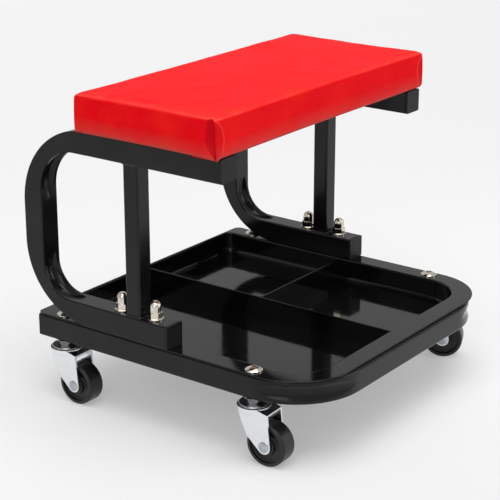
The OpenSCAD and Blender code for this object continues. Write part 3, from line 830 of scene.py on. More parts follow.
@dataclass(frozen=True)
class Underfold:
    """Folded layer of vinyl that shows under the pad beside a corner, in millimetres.

    Attributes:
        start: Distance from the corner at which it starts.
        length: Its length.
        reach: How far it runs inward under the pad.
        inset: Mean distance of its edge from the pad's end, and how far the edge wanders.
        thickness: Its thickness at the start.
        thinning: Share of the thickness that is lost towards its end.
        above: How far its upper side stands inside the pad.
        droop: How far it hangs between its ends.
        droop_share: Share of the droop that shows at its edge.
        steps: Sections along it.
        shade: Strength of its shade.
    """

    start: float = 4.5
    length: float = 26.0
    reach: float = 6.2
    inset: tuple[float, float] = (2.2, 0.4)
    thickness: float = 0.8
    thinning: float = 0.55
    above: float = 0.9
    droop: float = 0.5
    droop_share: float = 0.4
    steps: int = 24
    shade: float = 0.9

    def section(self, share: float, at: np.ndarray, out: int) -> list[Point]:
        """Give the outline of one section.

        Args:
            share: Place along the fold, from 0 to 1.
            at: The corner, at the pad's underside.
            out: Sign of the corner's X.

        Returns:
            The section's points.
        """
        y = at[1] + self.start + self.length * share
        taper = min(1.0, 12 * (1 - share) + 0.1) * min(1.0, 12 * share + 0.3)
        thin = self.thickness * (1 - self.thinning * share) * taper
        edge = at[0] - out * (self.inset[0] + self.inset[1] * math.sin(5 * share))
        inner = edge - out * self.reach
        top = at[2] + self.above
        under = top - thin - self.above
        droop = self.droop * math.sin(3.2 * share) * self.droop_share
        outline = [
            (inner, top),
            (edge - out * 0.3, top),
            (edge, top - 0.5 * thin),
            (edge - out * 0.25, under - droop),
            (edge - out * 1.4, under),
            (inner, top - self.above - 0.3 * thin),
        ]
        return [(x, y, z) for x, z in outline]

    def build(self, corner: Corner, at: np.ndarray, maker: MeshMaker) -> None:
        """Make the fold.

        Args:
            corner: A front corner.
            at: The corner, at the pad's underside.
            maker: Makes the piece.
        """
        rings = [self.section(i / self.steps, at, corner.value[0]) for i in range(self.steps + 1)]
        around = len(rings[0])
        count = around * len(rings)
        faces = tube_faces(len(rings), around, False)
        faces += [tuple(range(around)), tuple(range(count - 1, count - 1 - around, -1))]
        points = np.array([point for ring in rings for point in ring])
        fold = maker.piece(f"{corner.prefix}_underfold", points, faces, RED_VINYL)
        shade = fold.data.attributes.new("lens_shade", "FLOAT", "POINT")
        shade.data.foreach_set("value", np.full(len(fold.data.vertices), self.shade, np.float32))
        round_off = fold.modifiers.new("round", "SUBSURF")
        round_off.levels = 1
        round_off.render_levels = 1
        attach(fold, ROOT)


@dataclass
class SeatCushion:
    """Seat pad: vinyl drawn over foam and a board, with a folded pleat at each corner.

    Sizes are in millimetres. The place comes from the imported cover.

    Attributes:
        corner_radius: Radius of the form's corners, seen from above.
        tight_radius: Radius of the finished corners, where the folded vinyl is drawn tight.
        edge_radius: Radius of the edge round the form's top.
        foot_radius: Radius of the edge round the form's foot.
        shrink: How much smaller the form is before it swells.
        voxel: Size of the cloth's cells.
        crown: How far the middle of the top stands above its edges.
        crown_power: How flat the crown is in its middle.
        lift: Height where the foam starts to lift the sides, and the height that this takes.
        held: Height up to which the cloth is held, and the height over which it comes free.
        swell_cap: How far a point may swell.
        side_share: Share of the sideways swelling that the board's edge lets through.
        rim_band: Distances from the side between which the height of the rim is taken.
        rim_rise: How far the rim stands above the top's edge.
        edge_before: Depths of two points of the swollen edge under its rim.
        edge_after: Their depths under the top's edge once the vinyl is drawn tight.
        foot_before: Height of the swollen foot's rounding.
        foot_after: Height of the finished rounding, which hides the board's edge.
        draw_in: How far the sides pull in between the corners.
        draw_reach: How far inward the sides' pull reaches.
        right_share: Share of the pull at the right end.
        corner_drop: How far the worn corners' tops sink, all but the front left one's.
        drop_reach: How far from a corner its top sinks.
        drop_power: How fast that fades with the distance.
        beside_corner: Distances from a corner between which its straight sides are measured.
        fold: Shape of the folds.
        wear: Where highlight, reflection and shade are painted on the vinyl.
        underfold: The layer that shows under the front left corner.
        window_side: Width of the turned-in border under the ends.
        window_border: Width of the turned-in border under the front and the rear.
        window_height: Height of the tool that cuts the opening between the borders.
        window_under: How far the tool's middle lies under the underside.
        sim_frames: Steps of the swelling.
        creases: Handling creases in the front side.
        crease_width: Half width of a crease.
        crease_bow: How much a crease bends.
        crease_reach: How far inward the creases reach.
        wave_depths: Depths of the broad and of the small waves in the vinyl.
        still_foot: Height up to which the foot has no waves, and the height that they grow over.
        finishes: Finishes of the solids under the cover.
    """

    corner_radius: float = 4.5
    tight_radius: float = 2.0
    edge_radius: float = 3.5
    foot_radius: float = 1.6
    shrink: float = 0.8
    voxel: float = 4.0
    crown: float = 3.0
    crown_power: float = 0.5
    lift: tuple[float, float] = (8.0, 20.0)
    held: tuple[float, float] = (5.0, 8.0)
    swell_cap: float = 1.1
    side_share: float = 0.25
    rim_band: tuple[float, float] = (6.0, 9.0)
    rim_rise: float = 0.7
    edge_before: tuple[float, float] = (6.0, 2.0)
    edge_after: tuple[float, float] = (2.5, 0.4)
    foot_before: float = 2.5
    foot_after: float = 1.0
    draw_in: float = 1.5
    draw_reach: float = 25.0
    right_share: float = 0.3
    corner_drop: float = 2.6
    drop_reach: float = 10.0
    drop_power: float = 1.5
    beside_corner: tuple[float, float] = (10.0, 25.0)
    fold: FoldShape = FoldShape()
    wear: PaintedLightMarks = PaintedLightMarks()
    underfold: Underfold = Underfold()
    window_side: float = 42.0
    window_border: float = 20.0
    window_height: float = 4.0
    window_under: float = 0.8
    sim_frames: int = 20
    creases: tuple[Crease, ...] = (
        Crease(40, 322, -38, 12, 0.50),
        Crease(58, 332, -60, 10, 0.40),
        Crease(92, 326, -20, 14, 0.45),
        Crease(128, 330, 30, 13, 0.50),
        Crease(146, 322, 60, 11, 0.55),
        Crease(-60, 320, 15, 14, 0.40),
        Crease(-120, 326, -40, 15, 0.35),
        Crease(10, 319, 70, 9, 0.35),
    )
    crease_width: float = 1.5
    crease_bow: float = 0.02
    crease_reach: float = 8.0
    wave_depths: tuple[float, float] = (0.45, 0.12)
    still_foot: tuple[float, float] = (0.6, 3.0)
    finishes: Finishes = (
        ("seat_board", BOARD_WOOD), ("seat_staples", ZINC),
        ("seat_bolts", NICKEL), ("seat_tee_nuts", ZINC))

    def place(self) -> None:
        """Read the pad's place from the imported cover."""
        low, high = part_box("seat_cover")
        self.low = np.array(low) / MM
        self.high = np.array(high) / MM
        self.middle = (self.low + self.high) / 2
        self.half = (self.high - self.low) / 2

    @staticmethod
    def points_of(pad: bpy.types.Object) -> np.ndarray:
        """Return the pad's points in millimetres, one row each."""
        return np.array([v.co for v in pad.data.vertices]) / MM

    @staticmethod
    def move_to(pad: bpy.types.Object, points: np.ndarray) -> None:
        """Move the pad's points to new places, given in millimetres."""
        pad.data.vertices.foreach_set("co", (points * MM).astype(np.float32).ravel())

    def start_form(self) -> bpy.types.Object:
        """Make the closed rounded block that swells into the pad.

        Returns:
            The block.
        """
        size = 2 * self.half - 2 * np.array([self.shrink, self.shrink, 0])
        size[2] -= self.crown
        centre = self.middle.copy()
        centre[2] = self.low[2] + size[2] / 2
        form = block(size, centre)
        upright = [e for e in form.edges if abs(e.verts[0].co.z - e.verts[1].co.z) > 0.01]
        self.bevel(form, upright, self.corner_radius, 6)
        rim = [e for e in form.edges if min(v.co.z for v in e.verts) > (centre[2] + 5) * MM]
        self.bevel(form, rim, self.edge_radius, 5)
        foot = [e for e in form.edges if max(v.co.z for v in e.verts) < (self.low[2] + 1) * MM]
        self.bevel(form, foot, self.foot_radius, 3)
        return into_object(form, "seat_cushion")

    @staticmethod
    def bevel(form: bmesh.types.BMesh, edges: list[bmesh.types.BMEdge], radius: float,
              segments: int) -> None:
        """Round some edges of a form to a radius in millimetres."""
        bmesh.ops.bevel(form, geom=edges, offset=radius * MM, segments=segments, affect="EDGES",
                        profile=0.5)

    def inflate(self, pad: bpy.types.Object) -> None:
        """Swell the pad as cloth under pressure.

        Args:
            pad: The pad, in cells. Its points move.
        """
        start, width = self.held
        group = pad.vertex_groups.new(name=CLOTH_SETTINGS["vertex_group_mass"])
        for vertex in pad.data.vertices:
            height = vertex.co.z / MM - self.low[2]
            group.add([vertex.index], min(1.0, max(0.0, 1.0 - (height - start) / width)), "REPLACE")
        cloth = pad.modifiers.new("swelling", "CLOTH")
        for name, value in CLOTH_SETTINGS.items():
            setattr(cloth.settings, name, value)
        cloth.settings.effector_weights.gravity = 0.0
        cloth.point_cache.frame_start = 1
        cloth.point_cache.frame_end = self.sim_frames
        scene = bpy.context.scene
        for step in range(1, self.sim_frames + 1):
            scene.frame_set(step)
        bpy.ops.object.modifier_apply(modifier=cloth.name)
        scene.frame_set(1)
        pad.vertex_groups.clear()

    def swell(self, pad: bpy.types.Object) -> None:
        """Cut the form into cells, inflate it and keep the capped result.

        Args:
            pad: The closed form. Its mesh is replaced.
        """
        bpy.context.view_layer.objects.active = pad
        remesh = pad.modifiers.new("cells", "REMESH")
        remesh.mode = "VOXEL"
        remesh.voxel_size = self.voxel * MM
        bpy.ops.object.modifier_apply(modifier=remesh.name)
        rest = np.array([v.co for v in pad.data.vertices])
        self.inflate(pad)
        moved = np.array([v.co for v in pad.data.vertices]) - rest
        moved[:, :2] *= self.side_share
        length = np.linalg.norm(moved, axis=1, keepdims=True)
        cap = self.swell_cap * MM
        kept = cap * np.tanh(length / cap) / np.maximum(length, TINY)
        moved = moved * np.where(length > TINY, kept, 0)
        moved += self.foam_rise(rest)
        LOG.info("cushion swelled by up to %.1f mm", float(np.linalg.norm(moved, axis=1).max()) / MM)
        pad.data.vertices.foreach_set("co", (rest + moved).astype(np.float32).ravel())
        finer = pad.modifiers.new("finer", "SUBSURF")
        finer.levels = 1
        bpy.ops.object.modifier_apply(modifier=finer.name)

    def foam_rise(self, rest: np.ndarray) -> np.ndarray:
        """Find how far the crowned foam lifts each point.

        Args:
            rest: The points before they swell, in metres.

        Returns:
            The movement of each point, in metres.
        """
        u = (rest[:, 0] / MM - self.middle[0]) / self.half[0]
        v = (rest[:, 1] / MM - self.middle[1]) / self.half[1]
        power = self.crown_power
        rise = np.cos(np.clip(u, -1, 1) * np.pi / 2) ** power
        rise *= np.cos(np.clip(v, -1, 1) * np.pi / 2) ** power
        lift = np.clip((rest[:, 2] / MM - self.low[2] - self.lift[0]) / self.lift[1], 0, 1)
        return np.stack([np.zeros_like(rise), np.zeros_like(rise), self.crown * MM * rise * lift], axis=1)

    def settle(self, pad: bpy.types.Object) -> None:
        """Bring the swollen pad to the cover's exact width, depth and crown height.

        Args:
            pad: The swollen pad.
        """
        points = self.points_of(pad)
        low, high = points.min(0), points.max(0)
        for axis in (0, 1):
            scale = (2 * self.half[axis]) / (high[axis] - low[axis])
            points[:, axis] = self.middle[axis] + (points[:, axis] - (low[axis] + high[axis]) / 2) * scale
        points[:, 2] = self.draw_tight(points, low[2], high[2])
        points[:, :2] = self.square_corners(points[:, :2])
        place = (points[:, :2] - self.middle[:2]) / self.half[:2]
        for axis, other in ((0, 1), (1, 0)):
            pull = np.cos(np.clip(place[:, other], -1, 1) * np.pi / 2) ** 2
            near = fade((1 - np.abs(place[:, axis])) * self.half[axis], 0, self.draw_reach)
            pull *= np.where((axis == 0) & (place[:, 0] > 0), self.right_share, 1.0)
            points[:, axis] -= np.sign(place[:, axis]) * self.draw_in * pull * near
        for corner in [c for c in Corner if c is not Corner.FRONT_LEFT]:
            gap = np.linalg.norm(points[:, :2] - self.corner_point(corner)[:2], axis=1)
            share = np.clip((points[:, 2] - self.middle[2]) / self.half[2], 0, 1)
            points[:, 2] -= self.corner_drop * fade(gap, 0, self.drop_reach) ** self.drop_power * share
        self.move_to(pad, points)

    def draw_tight(self, points: np.ndarray, low: float, high: float) -> np.ndarray:
        """Sharpen the pad's foot and the edge round its top.

        Args:
            points: Points in millimetres, one row each.
            low: Lowest height of the points.
            high: Greatest height of the points.

        Returns:
            The new heights.
        """
        z = points[:, 2]
        inward = (self.half[:2] - np.abs(points[:, :2] - self.middle[:2])).min(1)
        rim = z[(inward > self.rim_band[0]) & (inward < self.rim_band[1]) & (z > self.middle[2])].mean()
        edge = self.high[2] - self.crown
        before = [low, low + self.foot_before, *(rim - d for d in self.edge_before), rim, high]
        after = [self.low[2], self.low[2] + self.foot_after, *(edge - d for d in self.edge_after),
                 edge + self.rim_rise, self.high[2]]
        return np.interp(z, before, after)

    def square_corners(self, plan: np.ndarray) -> np.ndarray:
        """Draw the pad's rounded corners out to their tight radius.

        Args:
            plan: X and Y of every point, in millimetres.

        Returns:
            The new X and Y.
        """
        place = plan - self.middle[:2]
        reach = np.abs(place)
        gap = reach.max(0) - reach
        beside = (gap > self.beside_corner[0]) & (gap < self.beside_corner[1])
        half = np.array([reach[beside[:, 1], 0].max(), reach[beside[:, 0], 1].max()])
        loose = (half.sum() - reach.sum(1).max()) / (2 - math.sqrt(2))
        shift = loose - self.tight_radius
        if shift <= 0:
            return plan
        local = np.maximum(reach - (half - loose), 0)
        length = np.maximum(np.hypot(local[:, 0], local[:, 1]), TINY)
        cosine, sine = local[:, 0] / length, local[:, 1] / length
        chord = shift * (cosine + sine)
        arc = chord + np.sqrt(np.maximum(chord ** 2 - 2 * shift ** 2 + self.tight_radius ** 2, 0))
        beyond = np.where(cosine * loose <= shift * sine, loose / np.maximum(sine, TINY), arc)
        edge = np.where(sine * loose <= shift * cosine, loose / np.maximum(cosine, TINY), beyond)
        both = (local[:, 0] > 0) & (local[:, 1] > 0)
        factor = np.where(both, edge / loose, 1.0)
        moved = np.where(both[:, None], half - loose + local * factor[:, None], reach)
        LOG.info("cushion corners drawn from %.1f to %.1f mm", loose, self.tight_radius)
        return self.middle[:2] + np.sign(place) * moved

    def refine_corners(self, pad: bpy.types.Object) -> None:
        """Cut finer cells beside each corner and sharp lines along each fold.

        Args:
            pad: The settled pad. Its mesh is replaced.
        """
        form = bmesh.new()
        form.from_mesh(pad.data)
        for corner in Corner:
            at = self.corner_point(corner) * MM
            for _ in range(self.fold.finer_rounds):
                edges = list({e for f in self.faces_near(form, at) for e in f.edges})
                bmesh.ops.subdivide_edges(form, edges=edges, cuts=1, use_grid_fill=True, smooth=0.35)
            axis = self.fold_axis(corner)
            inward = -np.sign(at[axis] - self.middle[axis] * MM)
            self.lean(form, axis, -inward)
            for shift in self.fold.cuts:
                plane, normal = [0.0, 0.0, 0.0], [0.0, 0.0, 0.0]
                plane[axis] = at[axis] + inward * shift * MM
                normal[axis] = 1.0
                near = self.faces_near(form, at)
                shapes = list({g for f in near for g in (*f.verts, *f.edges)}) + near
                bmesh.ops.bisect_plane(form, geom=shapes, plane_co=plane, plane_no=normal, dist=1e-6)
            self.lean(form, axis, inward)
        form.to_mesh(pad.data)
        form.free()

    def faces_near(self, form: bmesh.types.BMesh, at: np.ndarray) -> list[bmesh.types.BMFace]:
        """Find the faces in the upright column round a corner, clear of the underside.

        Args:
            form: The pad's mesh.
            at: The corner, in metres.

        Returns:
            The faces.
        """
        reach = self.fold.reach * MM
        least = (self.low[2] + self.fold.foot_margin) * MM
        near = []
        for face in form.faces:
            centre = face.calc_center_median()
            if abs(centre.x - at[0]) < reach and abs(centre.y - at[1]) < reach and centre.z > least:
                near.append(face)
        return near

    def height_share(self, z: np.ndarray | float) -> np.ndarray | float:
        """Return the share of the sides' height that a height in millimetres stands at."""
        return (z - self.low[2]) / (self.high[2] - self.crown - self.low[2])

    def lean(self, form: bmesh.types.BMesh, axis: int, way: float) -> None:
        """Shift points along an axis by the fold line's distance at their height.

        Args:
            form: The pad's mesh.
            axis: 0 for X or 1 for Y.
            way: 1 or -1, the direction of the shift.
        """
        for vert in form.verts:
            share = self.height_share(vert.co.z / MM)
            vert.co[axis] += way * float(np.interp(share, *self.fold.fold_line)) * MM

    def corner_point(self, corner: Corner) -> np.ndarray:
        """Return the upright line of a corner, as a point at the pad's underside."""
        return np.array([*(self.middle[:2] + np.array(corner.value) * self.half[:2]), self.low[2]])

    @staticmethod
    def fold_axis(corner: Corner) -> int:
        """Return the axis along which the folded face runs: Y at the front, X at the rear."""
        return 1 if corner.value[1] < 0 else 0

    def pleat(self, pad: bpy.types.Object) -> None:
        """Dip the vinyl beside each corner under its neighbour's folded edge.

        Args:
            pad: The pad, with its fine corners.
        """
        points = self.points_of(pad)
        fold = self.fold
        for corner in Corner:
            along = self.fold_axis(corner)
            across = 1 - along
            way, out = -corner.value[along], corner.value[across]
            t, width, on_face = self.fold_place(points, corner)
            tight = fold.rear_share if corner.value[1] > 0 else 1.0
            profile = np.clip(width / fold.full_width, 0, 1) * tight
            share = np.clip(t / np.maximum(width, 1e-3), 0, 1)
            behind, before = t > fold.edge, t <= fold.edge
            dip = fold.depth * profile ** fold.powers[0] * (1 - share) ** fold.powers[1]
            dip = np.where(behind & (width > fold.least_width), dip, 0.0)
            lip = np.where(before, fold.lip[0] * profile * np.exp(np.minimum(t, 0) / fold.lip[1]), 0.0)
            points[:, across] += out * (lip - dip) * on_face
            lap = np.where(before & (t > -fold.lap[1]), fold.lap[0] * profile * (1 + t / fold.lap[1]), 0.0)
            points[:, along] += way * lap * on_face
            line, on_side = self.ridge_place(points, corner)
            points[:, along] -= way * fold.ridge[0] * bump(line, 0, fold.ridge[1]) * on_side
        self.sag_corner(points)
        self.move_to(pad, points)

    def sag_corner(self, points: np.ndarray) -> None:
        """Let the foot of the front left corner hang down a little.

        Args:
            points: Points in millimetres, one row each. They are changed.
        """
        at, fold = self.corner_point(Corner.FRONT_LEFT), self.fold
        outer = np.clip((at[0] + fold.sag_inward[0] - points[:, 0]) / fold.sag_inward[1], 0, 1)
        low = fade(points[:, 2] - self.low[2], 0, fold.sag_reach) ** fold.sag_power
        beside = fade(np.abs(points[:, 1] - at[1]), 0, fold.sag_reach)
        points[:, 2] -= fold.sag[0] * outer * low * beside
        points[:, 1] -= fold.sag[1] * outer * low * beside

    def add_marks(self, pad: bpy.types.Object) -> None:
        """Store where highlight, reflection and shade are painted on the vinyl, for its material.

        Args:
            pad: The finished pad.
        """
        points, wear = self.points_of(pad), self.wear
        patches = np.array([noise.noise(Vector(p * wear.patch_scale)) for p in points])
        # Painted highlight along the top's edges, broken up by patches.
        rim = self.rim_highlight(points) * self.patchy(patches, wear.rim_patches)
        # Painted reflection along the foot of the sides, broken up by patches.
        foot = np.interp(points[:, 2] - self.low[2], *wear.foot_line)
        foot *= self.patchy(patches, wear.foot_patches)
        lens, crease = np.zeros(len(points)), np.zeros(len(points))
        for corner in Corner:
            t, width, on_face = self.fold_place(points, corner)
            share = t / np.maximum(width, 1e-3)
            shade = np.clip((1 - share) / wear.lens[1], 0, 1) * on_face * wear.lens[0]
            lens = np.maximum(lens, np.where((width > self.fold.least_width) & (t > 0), shade, 0))
            behind = bump(t, *wear.crease_place)
            strength = wear.crease[0 if corner.value[1] < 0 else 1]
            shown = (width > wear.crease_width) & (t > 0)
            crease = np.maximum(crease, np.where(shown, behind, 0) * on_face * strength)
            line, on_side = self.ridge_place(points, corner)
            # Painted highlight along the ridge beside a front corner.
            rim = np.maximum(rim, wear.ridge * bump(line, *wear.ridge_place) * on_side)
            hollow = np.clip(-line / wear.behind_ridge[1], 0, 1)
            lens = np.maximum(lens, wear.behind_ridge[0] * hollow * on_side)
        marks = {"rim_highlight": rim, "foot_reflection": foot, "lens_shade": lens, "crease_shade": crease}
        for name, values in marks.items():
            layer = pad.data.attributes.new(name, "FLOAT", "POINT")
            layer.data.foreach_set("value", np.clip(values, 0, 1).astype(np.float32))

    def rim_highlight(self, points: np.ndarray) -> np.ndarray:
        """Find how strong the painted highlight along the top's edges is at each point.

        Args:
            points: Points in millimetres, one row each.

        Returns:
            The strength of the painted highlight.
        """
        wear = self.wear
        inward = self.half[:2] - np.abs(points[:, :2] - self.middle[:2])
        depth = (self.high[2] - self.crown) - points[:, 2]
        near_side = points[:, :2] - self.middle[:2] < 0
        rim = np.zeros(len(points))
        for axis, (near, far) in enumerate(wear.rim_strength):
            strength = np.where(near_side[:, axis], near, far)
            width = np.where(near_side[:, axis], *wear.rim_width)
            wide = wear.rim_soft * np.exp(-inward[:, axis] / width)
            line = np.exp(-np.maximum(inward[:, axis] - wear.rim_line[0], 0) / wear.rim_line[1])
            rim = np.maximum(rim, strength * np.maximum(wide, line))
        return rim * fade(depth, *wear.top_depth)

    @staticmethod
    def patchy(patches: np.ndarray, strength: tuple[float, float]) -> np.ndarray:
        """Return the share of a painted mark that the patches leave, from their mean and swing."""
        return np.clip(strength[0] + strength[1] * patches, 0, 1)

    def fold_place(self, points: np.ndarray, corner: Corner) -> tuple[np.ndarray, np.ndarray, np.ndarray]:
        """Place points against the fold beside a corner.

        Args:
            points: Points in millimetres, one row each.
            corner: The corner.

        Returns:
            The distance behind the fold's line, the lens's width at the point's height, and how
            much the point belongs to the folded face.
        """
        share = self.height_share(points[:, 2])
        line = np.interp(share, *self.fold.fold_line)
        lens = np.interp(share, *self.fold.lens_line)
        at = self.corner_point(corner)
        along = self.fold_axis(corner)
        across = 1 - along
        way, out = -corner.value[along], corner.value[across]
        t = (points[:, along] - at[along]) * way - line
        wall = (at[across] - points[:, across]) * out
        lowest, highest = self.fold.heights
        start, width, outside = self.fold.wall
        inside = (t < self.fold.along) & (share > lowest) & (share < highest)
        on_face = fade(wall, start, width) * (wall > -outside) * inside
        return t, np.maximum(lens - line, 0), on_face

    def ridge_place(self, points: np.ndarray, corner: Corner) -> tuple[np.ndarray, np.ndarray]:
        """Place points against the ridge on the side face of a folded front corner.

        Args:
            points: Points in millimetres, one row each.
            corner: The corner.

        Returns:
            The distance past the ridge's line, and how much the point belongs to the side face.
        """
        share = self.height_share(points[:, 2])
        at = self.corner_point(corner)
        depth = self.fold_axis(corner)
        along = 1 - depth
        way, inward = -corner.value[along], -corner.value[depth]
        reach = (points[:, along] - at[along]) * way
        wall = (points[:, depth] - at[depth]) * inward
        lowest, highest = self.fold.ridge_heights
        beside = (reach < self.fold.along) & (reach > self.fold.ridge_start)
        inside = beside & (share > lowest) & (share < highest) & (corner.value[1] < 0)
        line = reach - np.interp(share, *self.fold.ridge_line)
        return line, fade(wall, *self.fold.ridge_wall) * inside

    def crease(self, pad: bpy.types.Object) -> None:
        """Press soft waves and a few handling creases into the vinyl.

        Args:
            pad: The pleated pad.
        """
        points = self.points_of(pad)
        normals = np.array([v.normal for v in pad.data.vertices])
        push = np.zeros(len(points))
        for index, point in enumerate(points):
            broad = noise.noise(Vector(point * (0.021, 0.028, 0.028)))
            small = noise.noise(Vector(point * (0.07, 0.09, 0.09)) + Vector((7, 3, 1)))
            push[index] = self.wave_depths[0] * broad + self.wave_depths[1] * small
        front = fade(points[:, 1] - self.low[1], 0, self.crease_reach)
        for crease in self.creases:
            angle = math.radians(crease.tilt)
            dx, dz = points[:, 0] - crease.x, points[:, 2] - crease.z
            along = dx * math.cos(angle) + dz * math.sin(angle)
            across = -dx * math.sin(angle) + dz * math.cos(angle) - self.crease_bow * along ** 2
            press = np.exp(-(across / self.crease_width) ** 2 - (along / crease.length) ** 2)
            push -= crease.depth * front * press
        level = np.clip((points[:, 2] - self.low[2] - self.still_foot[0]) / self.still_foot[1], 0, 1)
        self.move_to(pad, points + normals * (push * level)[:, None])

    def open_underside(self, pad: bpy.types.Object) -> None:
        """Cut the window that the turned-in border leaves in the underside.

        Args:
            pad: The creased pad. Its mesh is replaced.
        """
        span = 2 * (self.half - np.array([self.window_side, self.window_border, 0]))
        size = np.array([span[0], span[1], self.window_height])
        centre = self.middle.copy()
        centre[2] = self.low[2] - self.window_under
        cutter = into_object(block(size, centre), "window_cutter")
        cut = pad.modifiers.new("window", "BOOLEAN")
        cut.object = cutter
        cut.operation = "DIFFERENCE"
        cut.solver = "EXACT"
        bpy.context.view_layer.objects.active = pad
        bpy.ops.object.modifier_apply(modifier=cut.name)
        bpy.data.objects.remove(cutter)

    def build(self, maker: MeshMaker) -> None:
        """Make the pad and its folded corners.

        Args:
            maker: Gives the finishes.
        """
        self.place()
        pad = self.start_form()
        self.swell(pad)
        self.settle(pad)
        self.refine_corners(pad)
        self.pleat(pad)
        self.crease(pad)
        self.open_underside(pad)
        self.add_marks(pad)
        pad.data.materials.clear()
        pad.data.materials.append(maker.shelf.get(RED_VINYL))
        pad.data.shade_smooth()
        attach(pad, ROOT)
        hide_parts("seat_cover", "seat_foam")
        LOG.info("made seat_cushion with %d faces", len(pad.data.polygons))
        maker.dress_all(self.finishes)
        self.underfold.build(Corner.FRONT_LEFT, self.corner_point(Corner.FRONT_LEFT), maker)


@dataclass
class SideFrames:
    """Two bent side frames with their posts, end caps and weld beads, in millimetres.

    Attributes:
        bead_radius: Radius of a weld bead.
        bead_squash: Width and height of a bead's section, as shares of a round one's.
        bead_lift: How far a bead's middle stands off the tube.
        bead_segments: Points round a bead's section.
        ripple_pitch: Distance between the ripples of a bead.
        ripple_depth: Height of the ripples.
        ripple_steps: Sections along one ripple.
        drift_scale: Scale of the bead's slow drift along it, with its height and its side.
        drift_depth: How much the drift changes the radius.
        post_corner: Radius of a post's upright edges.
        finishes: Finishes of each side's solids, named without the side.
    """

    bead_radius: float = 1.6
    bead_squash: tuple[float, float] = (0.95, 0.9)
    bead_lift: float = 0.1
    bead_segments: int = 10
    ripple_pitch: float = 1.8
    ripple_depth: float = 0.26
    ripple_steps: int = 6
    drift_scale: Point = (0.35, 0.1, 0.01)
    drift_depth: float = 0.35
    post_corner: float = 2.0
    finishes: Finishes = (("side_tube", FRAME_PAINT), ("post", FRAME_PAINT))

    def build(self, maker: MeshMaker) -> None:
        """Dress the frames and lay the weld beads.

        Args:
            maker: Gives the finishes and makes the beads.
        """
        points: list[Point] = []
        faces: list[tuple[int, ...]] = []
        for side in Side:
            name = side.name.lower()
            maker.dress_all(self.finishes, f"{name}_")
            low, high = (np.array(c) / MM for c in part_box(f"{name}_post"))
            for z, up in ((low[2], 1), (high[2], -1)):
                self.bead(low, high, z, up, points, faces)
        maker.dress("tube_end_caps", CAP_PLASTIC)
        beads = maker.piece("weld_beads", np.array(points), faces, WELD_PAINT)
        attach(beads, ROOT)
        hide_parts("post_welds")

    def bead(self, low: np.ndarray, high: np.ndarray, z: float, up: int,
             points: list[Point], faces: list[tuple[int, ...]]) -> None:
        """Add one rippled bead round an end of a post.

        Args:
            low: Lowest corner of the post.
            high: Highest corner of the post.
            z: Height of the end.
            up: 1 at the foot, -1 at the top.
            points: Points so far, added to.
            faces: Faces so far, added to.
        """
        centre, half = (low + high)[:2] / 2, (high[0] - low[0]) / 2
        total = 4 * (2 * (half - self.post_corner) + math.pi / 2 * self.post_corner)
        steps = int(total / (self.ripple_pitch / self.ripple_steps))
        offset = len(points)
        for i in range(steps):
            s = total * i / steps
            px, py, heading = self.seam_point(s, half, centre)
            wave = abs(math.sin(math.pi * s / self.ripple_pitch)) - 0.5
            drift = noise.noise(Vector(np.array((s, z, centre[0])) * self.drift_scale))
            radius = self.bead_radius + self.ripple_depth * wave + self.drift_depth * drift
            for k in range(self.bead_segments):
                turn = 2 * math.pi * k / self.bead_segments
                out = radius * math.cos(turn) * self.bead_squash[0]
                rise = radius * math.sin(turn) * self.bead_squash[1] + self.bead_lift
                points.append((px + out * math.cos(heading), py + out * math.sin(heading), z + up * rise))
        faces += tube_faces(steps, self.bead_segments, True, offset)

    def seam_point(self, s: float, half: float, centre: np.ndarray) -> Point:
        """Walk along the rounded square round a post.

        Args:
            s: Distance walked.
            half: Half of the post's width.
            centre: X and Y of the post's middle.

        Returns:
            X and Y of the place, and the direction that points outward there.
        """
        corner = self.post_corner
        straight = 2 * (half - corner)
        leg, rest = divmod(s, straight + math.pi / 2 * corner)
        if rest < straight:
            x, y, turn = half, rest - straight / 2, 0.0
        else:
            turn = (rest - straight) / corner
            x = half - corner + corner * math.cos(turn)
            y = straight / 2 + corner * math.sin(turn)
        angle = leg * math.pi / 2
        px = centre[0] + x * math.cos(angle) - y * math.sin(angle)
        py = centre[1] + x * math.sin(angle) + y * math.cos(angle)
        return px, py, angle + turn


@dataclass
class BaseAndTray:
    """Rail, tray, dividers and the fasteners that hold them together.

    Attributes:
        finishes: Finish of each solid.
    """

    finishes: Finishes = (
        ("base_rail", FRAME_PAINT), ("rail_end_caps", CAP_PLASTIC),
        ("tray", TRAY_PAINT), ("tray_divider_long", TRAY_PAINT), ("tray_divider_cross", TRAY_PAINT),
        ("frame_bolts", NICKEL), ("frame_washers", NICKEL), ("acorn_nuts", NICKEL),
        ("caster_bolts", NICKEL))

    def build(self, maker: MeshMaker) -> None:
        """Dress the rail, the tray and their fasteners."""
        maker.dress_all(self.finishes)


@dataclass
class Casters:
    """The four swivelling casters.

    Attributes:
        shared: Finishes of the solids that hold the same part of all four.
        each: Finishes of the parts of one caster, named without its corner.
    """

    shared: Finishes = (
        ("caster_nuts", NUT_STEEL), ("caster_lock_nuts", ZINC),
        ("caster_balls", NICKEL), ("caster_top_races", RACE_STEEL))
    each: Finishes = (("fork", ZINC), ("axle", AXLE_ZINC), ("wheel", WHEEL_PLASTIC), ("bush", NICKEL))

    def build(self, maker: MeshMaker) -> None:
        """Dress every caster.

        Args:
            maker: Gives the finishes.
        """
        maker.dress_all(self.shared)
        for corner in Corner:
            maker.dress_all(self.each, f"{corner.prefix}_")


@dataclass(frozen=True)
class Lamp:
    """One rectangular lamp.

    Attributes:
        name: Its name.
        at: Its place, in metres.
        aim: The point it faces, in metres.
        size: Its width and height, in metres.
        power: Its power, in watts.
    """

    name: str
    at: Point
    aim: Point
    size: tuple[float, float]
    power: float

    def hang(self) -> None:
        """Put the lamp in the scene."""
        data = bpy.data.lights.new(self.name, "AREA")
        data.shape = "RECTANGLE"
        data.size, data.size_y = self.size
        data.energy = self.power
        lamp = put_in_scene(self.name, data)
        lamp.location = self.at
        lamp.rotation_euler = (Vector(self.aim) - Vector(self.at)).to_track_quat("-Z", "Y").to_euler()


